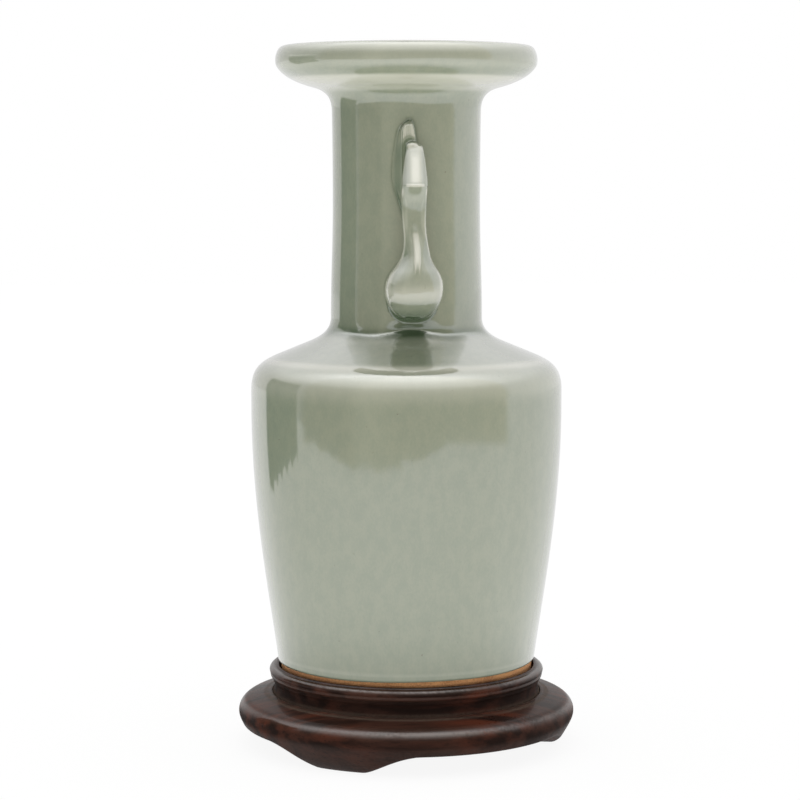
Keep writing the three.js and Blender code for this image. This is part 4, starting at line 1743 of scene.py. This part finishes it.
@dataclass
class FlutedDowels:
    """The two fluted dowels of one foot, drawn along a line by Geometry Nodes."""

    stand: Stand
    circle: float

    def apply(self, name: str, material: Material) -> Mesh:
        """Makes the pair, for a foot that points along +X.

        Args:
            name: name of the mesh.
            material: its finish.

        Returns:
            A plain mesh of both dowels.
        """
        stand = self.stand
        sockets = dict.fromkeys(("Length", "Radius", "Circle", "Spacing", "Foot"), "NodeSocketFloat")
        sockets["Flutes"] = "NodeSocketInt"
        graph, entry, found = geometry_tree(name, sockets)
        groove = graph.math("MULTIPLY", entry.outputs["Radius"], 0.93)
        star_inputs = {
            "Points": entry.outputs["Flutes"],
            "Inner Radius": groove,
            "Outer Radius": entry.outputs["Radius"],
        }
        star = graph.node("GeometryNodeCurveStar", star_inputs).outputs[0]
        tip = graph.node("ShaderNodeCombineXYZ", {"Z": entry.outputs["Length"]}).outputs[0]
        axis_inputs = {"Start": (0.0, 0.0, 0.0), "End": tip}
        axis_line = graph.node("GeometryNodeCurvePrimitiveLine", axis_inputs).outputs[0]
        rod_inputs = {"Curve": axis_line, "Profile Curve": star, "Fill Caps": True}
        rod = graph.node("GeometryNodeCurveToMesh", rod_inputs).outputs[0]
        half_back = graph.math("MULTIPLY", entry.outputs["Spacing"], -0.5)
        start_inputs = {"X": entry.outputs["Circle"], "Y": half_back, "Z": entry.outputs["Foot"]}
        start = graph.node("ShaderNodeCombineXYZ", start_inputs).outputs[0]
        offset = graph.node("ShaderNodeCombineXYZ", {"Y": entry.outputs["Spacing"]}).outputs[0]
        pair_inputs = {"Count": 2, "Start Location": start, "Offset": offset}
        pair = graph.node("GeometryNodeMeshLine", pair_inputs).outputs[0]
        copies = graph.node("GeometryNodeInstanceOnPoints", {"Points": pair, "Instance": rod}).outputs[0]
        end_tree(graph, entry, copies)
        values = {
            "Length": stand.dowel_length * MM,
            "Radius": stand.dowel_radius * MM,
            "Flutes": stand.dowel_flutes,
            "Circle": self.circle * MM,
            "Spacing": stand.dowel_spacing * MM,
            "Foot": (stand.plinth_foot - stand.dowel_length / 2) * MM,
            "Material": material,
        }
        return run_tree(bpy.data.meshes.new(name), graph, found, values)


@dataclass(frozen=True)
class Card:
    """An upright curved card of the studio that only reflections see.

    Angles are in degrees, to the right of the camera as the vase sees it. The glow fades up the card.
    """

    name: str
    left: float
    right: float
    foot: float
    foot_rise: float  # how much higher its foot is at the right end
    head: float
    distance: float
    glow: Colour
    head_glow: Colour
    fade_from: float  # the glow keeps its colour up to this level


@dataclass
class Studio:
    """White floor, soft light and the camera."""

    camera_distance: float = 1020.0
    camera_height: float = 239.0
    camera_side: float = -4.8  # degrees round from +X
    camera_pitch: float = 5.4  # degrees down
    camera_yaw: float = 0.146  # degrees to its left
    lens: float = 111.6
    plain_light: Share = (0.15, 1.25)  # from the walls and from overhead
    room: Stations = (  # glow of walls and room by bearing
        (-180.0, 0.78), (-135.0, 0.8), (-120.0, 0.8), (-84.0, 0.7), (-79.0, 0.45), (-74.0, 0.42),
        (-58.0, 0.48), (-42.0, 0.58), (-33.0, 1.0), (-18.0, 1.0), (-8.0, 0.85), (12.0, 0.82), (30.0, 0.9),
        (50.0, 0.98), (70.0, 1.05), (78.0, 1.25), (83.0, 1.75), (110.0, 1.52), (130.0, 1.2), (150.0, 0.97),
        (180.0, 0.78),
    )
    room_tint: Colour = (1.07, 1.0, 0.8)  # of the unlit room behind the camera
    softbox: Stations = (  # glow over the walls by elevation
        (5.0, 0.0), (12.0, 0.1), (20.0, 0.45), (25.0, 0.9), (30.0, 1.6), (36.0, 2.4), (45.0, 3.2), (55.0, 4.2),
        (65.0, 5.3), (90.0, 6.2),
    )
    softbox_sides: Stations = (  # share of that glow by bearing
        (-180.0, 0.25), (-150.0, 0.35), (-130.0, 0.5), (-110.0, 0.8), (-90.0, 1.0), (60.0, 1.0),
        (75.0, 0.9), (90.0, 0.68), (110.0, 0.52), (130.0, 0.4), (150.0, 0.32), (180.0, 0.25),
    )
    table_glow: Stations = (  # by bearing
        (-180.0, 0.75), (-150.0, 0.9), (-130.0, 1.1), (-110.0, 1.2), (-90.0, 1.4), (-70.0, 1.65), (-50.0, 1.8),
        (-20.0, 1.9), (75.0, 1.9), (90.0, 1.65), (110.0, 1.4), (130.0, 1.1), (150.0, 0.9), (180.0, 0.75),
    )
    bounce: float = 0.95  # light that the table throws up at the object, over its own white
    table_edge: float = 620.0  # the white table ends this far in front of the vase
    table_turn: float = -20.0  # degrees that its edge faces to the camera's left
    shade: Stations = (  # beside the stand, by metres from the axis
        (0.075, 0.3), (0.1, 0.45), (0.127, 0.68), (0.16, 0.92), (0.2, 1.0),
    )
    floor_half: float = 4.0  # metres
    paper: Colour = (0.8, 0.8, 0.8)
    seen_paper: Colour = (0.11, 0.11, 0.11)  # what of the white the camera sees lit and shaded
    seen_white: float = 0.91  # what of it the camera sees as plain white
    cards: tuple[Card, ...] = (
        Card("dark_left", -119.0, -82.0, 8.0, 34.0, 372.0, 520.0, (0.06, 0.11, 0.09), (1.5, 1.5, 1.45), 300.0),
    )

    def camera(self) -> None:
        """Places the camera at the photograph's viewing angle."""
        data = bpy.data.cameras.new("camera")
        data.sensor_width = 36.0
        data.lens = self.lens
        data.clip_start, data.clip_end = 0.05, 50.0
        camera = placed("camera", data)
        side = math.radians(self.camera_side)
        out = self.camera_distance * MM
        camera.location = (out * math.cos(side), out * math.sin(side), self.camera_height * MM)
        turn = math.radians(90.0 + self.camera_side + self.camera_yaw)
        camera.rotation_euler = (math.radians(90.0 - self.camera_pitch), 0.0, turn)
        bpy.context.scene.camera = camera

    def bearing(self, graph: Graph, place: Socket) -> tuple[Socket, ...]:
        """Finds where a place or direction lies from the camera's side of the vase.

        Args:
            graph: the tree to build in.
            place: the place or direction.

        Returns:
            Degrees to the right of the camera, and the height.
        """
        turn = (0.0, 0.0, -math.radians(self.camera_side))
        turned = graph.node("ShaderNodeMapping", {"Vector": place, "Rotation": turn}).outputs[0]
        axes = graph.node("ShaderNodeSeparateXYZ", {0: turned}).outputs
        angle = graph.math("ARCTAN2", axes["Y"], axes["X"])
        return graph.math("DEGREES", angle), axes["Z"]

    def walls(self, graph: Graph, bearing: Socket) -> Socket:
        """Colour of the walls and of the dim room behind the camera, by bearing.

        Args:
            graph: the tree to build in.
            bearing: degrees to the right of the camera.

        Returns:
            The colour.
        """
        grey = graph.grey(graph.ramp(bearing, self.room))
        tinted = graph.vectors("MULTIPLY", grey, self.room_tint)
        return graph.blend(graph.span(graph.math("ABSOLUTE", bearing), 76.0, 82.0, 1.0, 0.0), grey, tinted)

    def world(self) -> None:
        """White to the camera, a photographer's room in reflections and plain soft light on the object."""
        world = bpy.data.worlds.new("studio")
        world.use_nodes = True
        bpy.context.scene.world = world
        graph = Graph(world.node_tree)
        path = graph.node("ShaderNodeLightPath").outputs
        bearing, height = self.bearing(graph, graph.node("ShaderNodeTexCoord").outputs["Generated"])
        elevation = graph.math("DEGREES", graph.math("ARCSINE", height))
        above = graph.ramp(elevation, self.softbox)
        above = graph.grey(graph.math("MULTIPLY", above, graph.ramp(bearing, self.softbox_sides)))
        glow = graph.vectors("ADD", self.walls(graph, bearing), above)
        plain = graph.grey(graph.span(elevation, 0.0, 70.0, *self.plain_light))
        lit = graph.blend(path["Is Glossy Ray"], plain, glow)
        shown = graph.math("MAXIMUM", path["Is Camera Ray"], path["Is Transmission Ray"])
        background = world.node_tree.nodes["Background"]
        graph.feed(background.inputs["Color"], graph.blend(shown, lit, (1.0, 1.0, 1.0)))
        background.inputs["Strength"].default_value = 1.0

    def table(self, graph: Graph) -> Socket:
        """What reflections see of the table: white, shaded beside the stand, and ending before the camera.

        Args:
            graph: the tree to build in.

        Returns:
            The colour.
        """
        place = graph.place()
        bearing, _ = self.bearing(graph, place)
        facing = math.radians(self.camera_side + self.table_turn)
        towards = (math.cos(facing), math.sin(facing), 0.0)
        ahead = graph.node("ShaderNodeVectorMath", {0: place, 1: towards}, operation="DOT_PRODUCT")
        ragged = graph.total(graph.noise(place, 7.0, 3.0), 0.22, ahead.outputs["Value"])
        edge = self.table_edge * MM + 0.11
        beyond = graph.span(ragged, edge - 0.03, edge + 0.03)
        out = graph.node("ShaderNodeVectorMath", {0: place}, operation="LENGTH").outputs["Value"]
        in_front = graph.span(graph.math("ABSOLUTE", bearing), 74.0, 82.0, 1.0, 0.0)
        far = graph.math("MULTIPLY", graph.span(out, 0.85, 1.0), in_front)
        beyond = graph.math("MAXIMUM", beyond, far)
        glow = graph.math("MULTIPLY", graph.ramp(out, self.shade), graph.ramp(bearing, self.table_glow))
        return graph.blend(beyond, graph.grey(glow), self.walls(graph, bearing))

    @staticmethod
    def set_up(name: str, points: list[tuple], faces: list[tuple]) -> tuple[bpy.types.Object, Graph]:
        """Sets up a thing of the studio with an empty material.

        Args:
            name: its name.
            points: its corners, in metres.
            faces: its faces, as numbers of corners.

        Returns:
            The object and its material's graph.
        """
        mesh = bpy.data.meshes.new(name)
        mesh.from_pydata(points, [], faces)
        material = bpy.data.materials.new(name)
        material.use_nodes = True
        material.node_tree.nodes.clear()
        mesh.materials.append(material)
        return placed(name, mesh), Graph(material.node_tree)

    def floor(self) -> None:
        """A white floor that keeps a soft shadow."""
        half = self.floor_half
        corners = [(-half, -half, 0.0), (half, -half, 0.0), (half, half, 0.0), (-half, half, 0.0)]
        floor, graph = self.set_up("floor", corners, [(0, 1, 2, 3)])
        path = graph.node("ShaderNodeLightPath").outputs
        reflected = graph.node("ShaderNodeEmission", {"Color": self.table(graph)}).outputs[0]
        matt = graph.node("ShaderNodeBsdfDiffuse", {"Color": self.paper}).outputs[0]
        bounce = graph.node("ShaderNodeEmission", {"Strength": self.bounce}).outputs[0]
        paper = graph.node("ShaderNodeAddShader", {0: matt, 1: bounce}).outputs[0]
        soft = graph.node("ShaderNodeBsdfDiffuse", {"Color": self.seen_paper}).outputs[0]
        lift = graph.node("ShaderNodeEmission", {"Strength": self.seen_white}).outputs[0]
        shown = graph.node("ShaderNodeAddShader", {0: soft, 1: lift}).outputs[0]
        plain = graph.node("ShaderNodeMixShader", {0: path["Is Camera Ray"], 1: paper, 2: shown}).outputs[0]
        mixed = graph.node("ShaderNodeMixShader", {0: path["Is Glossy Ray"], 1: plain, 2: reflected})
        graph.node("ShaderNodeOutputMaterial", {"Surface": mixed.outputs[0]})

    def card(self, card: Card) -> None:
        """Stands up one card.

        Args:
            card: the card to make.
        """
        angles = np.radians(np.linspace(card.left, card.right, 33) + self.camera_side)
        reach_out = card.distance * MM
        ring = [(reach_out * math.cos(a), reach_out * math.sin(a)) for a in angles]
        count = len(ring)
        ragged = [i / count + 0.16 * math.sin(1.1 * i) + 0.1 * math.sin(2.3 * i) for i in range(count)]
        points = [(x, y, (card.foot + card.foot_rise * share) * MM) for share, (x, y) in zip(ragged, ring)]
        points += [(x, y, card.head * MM) for x, y in ring]
        faces = [(i + 1, i, count + i, count + i + 1) for i in range(count - 1)]
        board, graph = self.set_up(card.name, points, faces)
        board.visible_camera = board.visible_diffuse = board.visible_shadow = board.visible_transmission = False
        height = graph.node("ShaderNodeSeparateXYZ", {0: graph.place()}).outputs["Z"]
        share = graph.span(height, card.fade_from * MM, card.head * MM)
        colour = graph.blend(share, card.glow, card.head_glow)
        glow = graph.node("ShaderNodeEmission", {"Color": colour}).outputs[0]
        graph.node("ShaderNodeOutputMaterial", {"Surface": glow})

    def build(self) -> None:
        """Sets up the studio."""
        bpy.context.scene.view_settings.view_transform = "Standard"
        self.camera()
        self.world()
        self.floor()
        for card in self.cards:
            self.card(card)


def main() -> None:
    """Builds the studio, the vase and the stand, in that order."""
    logging.basicConfig(level=logging.INFO, format="%(message)s")
    Studio().build()
    effects = SharedEffects()
    glaze = CeladonGlaze().material(effects)
    vase = VaseBody()
    bird = BirdHandle(vase)
    vase.pool_round(bird.bare)
    vase.build(glaze, BareClay().material(effects))
    bird.build(glaze)
    Stand().build(Rosewood().material(effects), DowelWood().material(effects))


if __name__ == "__main__":
    main()
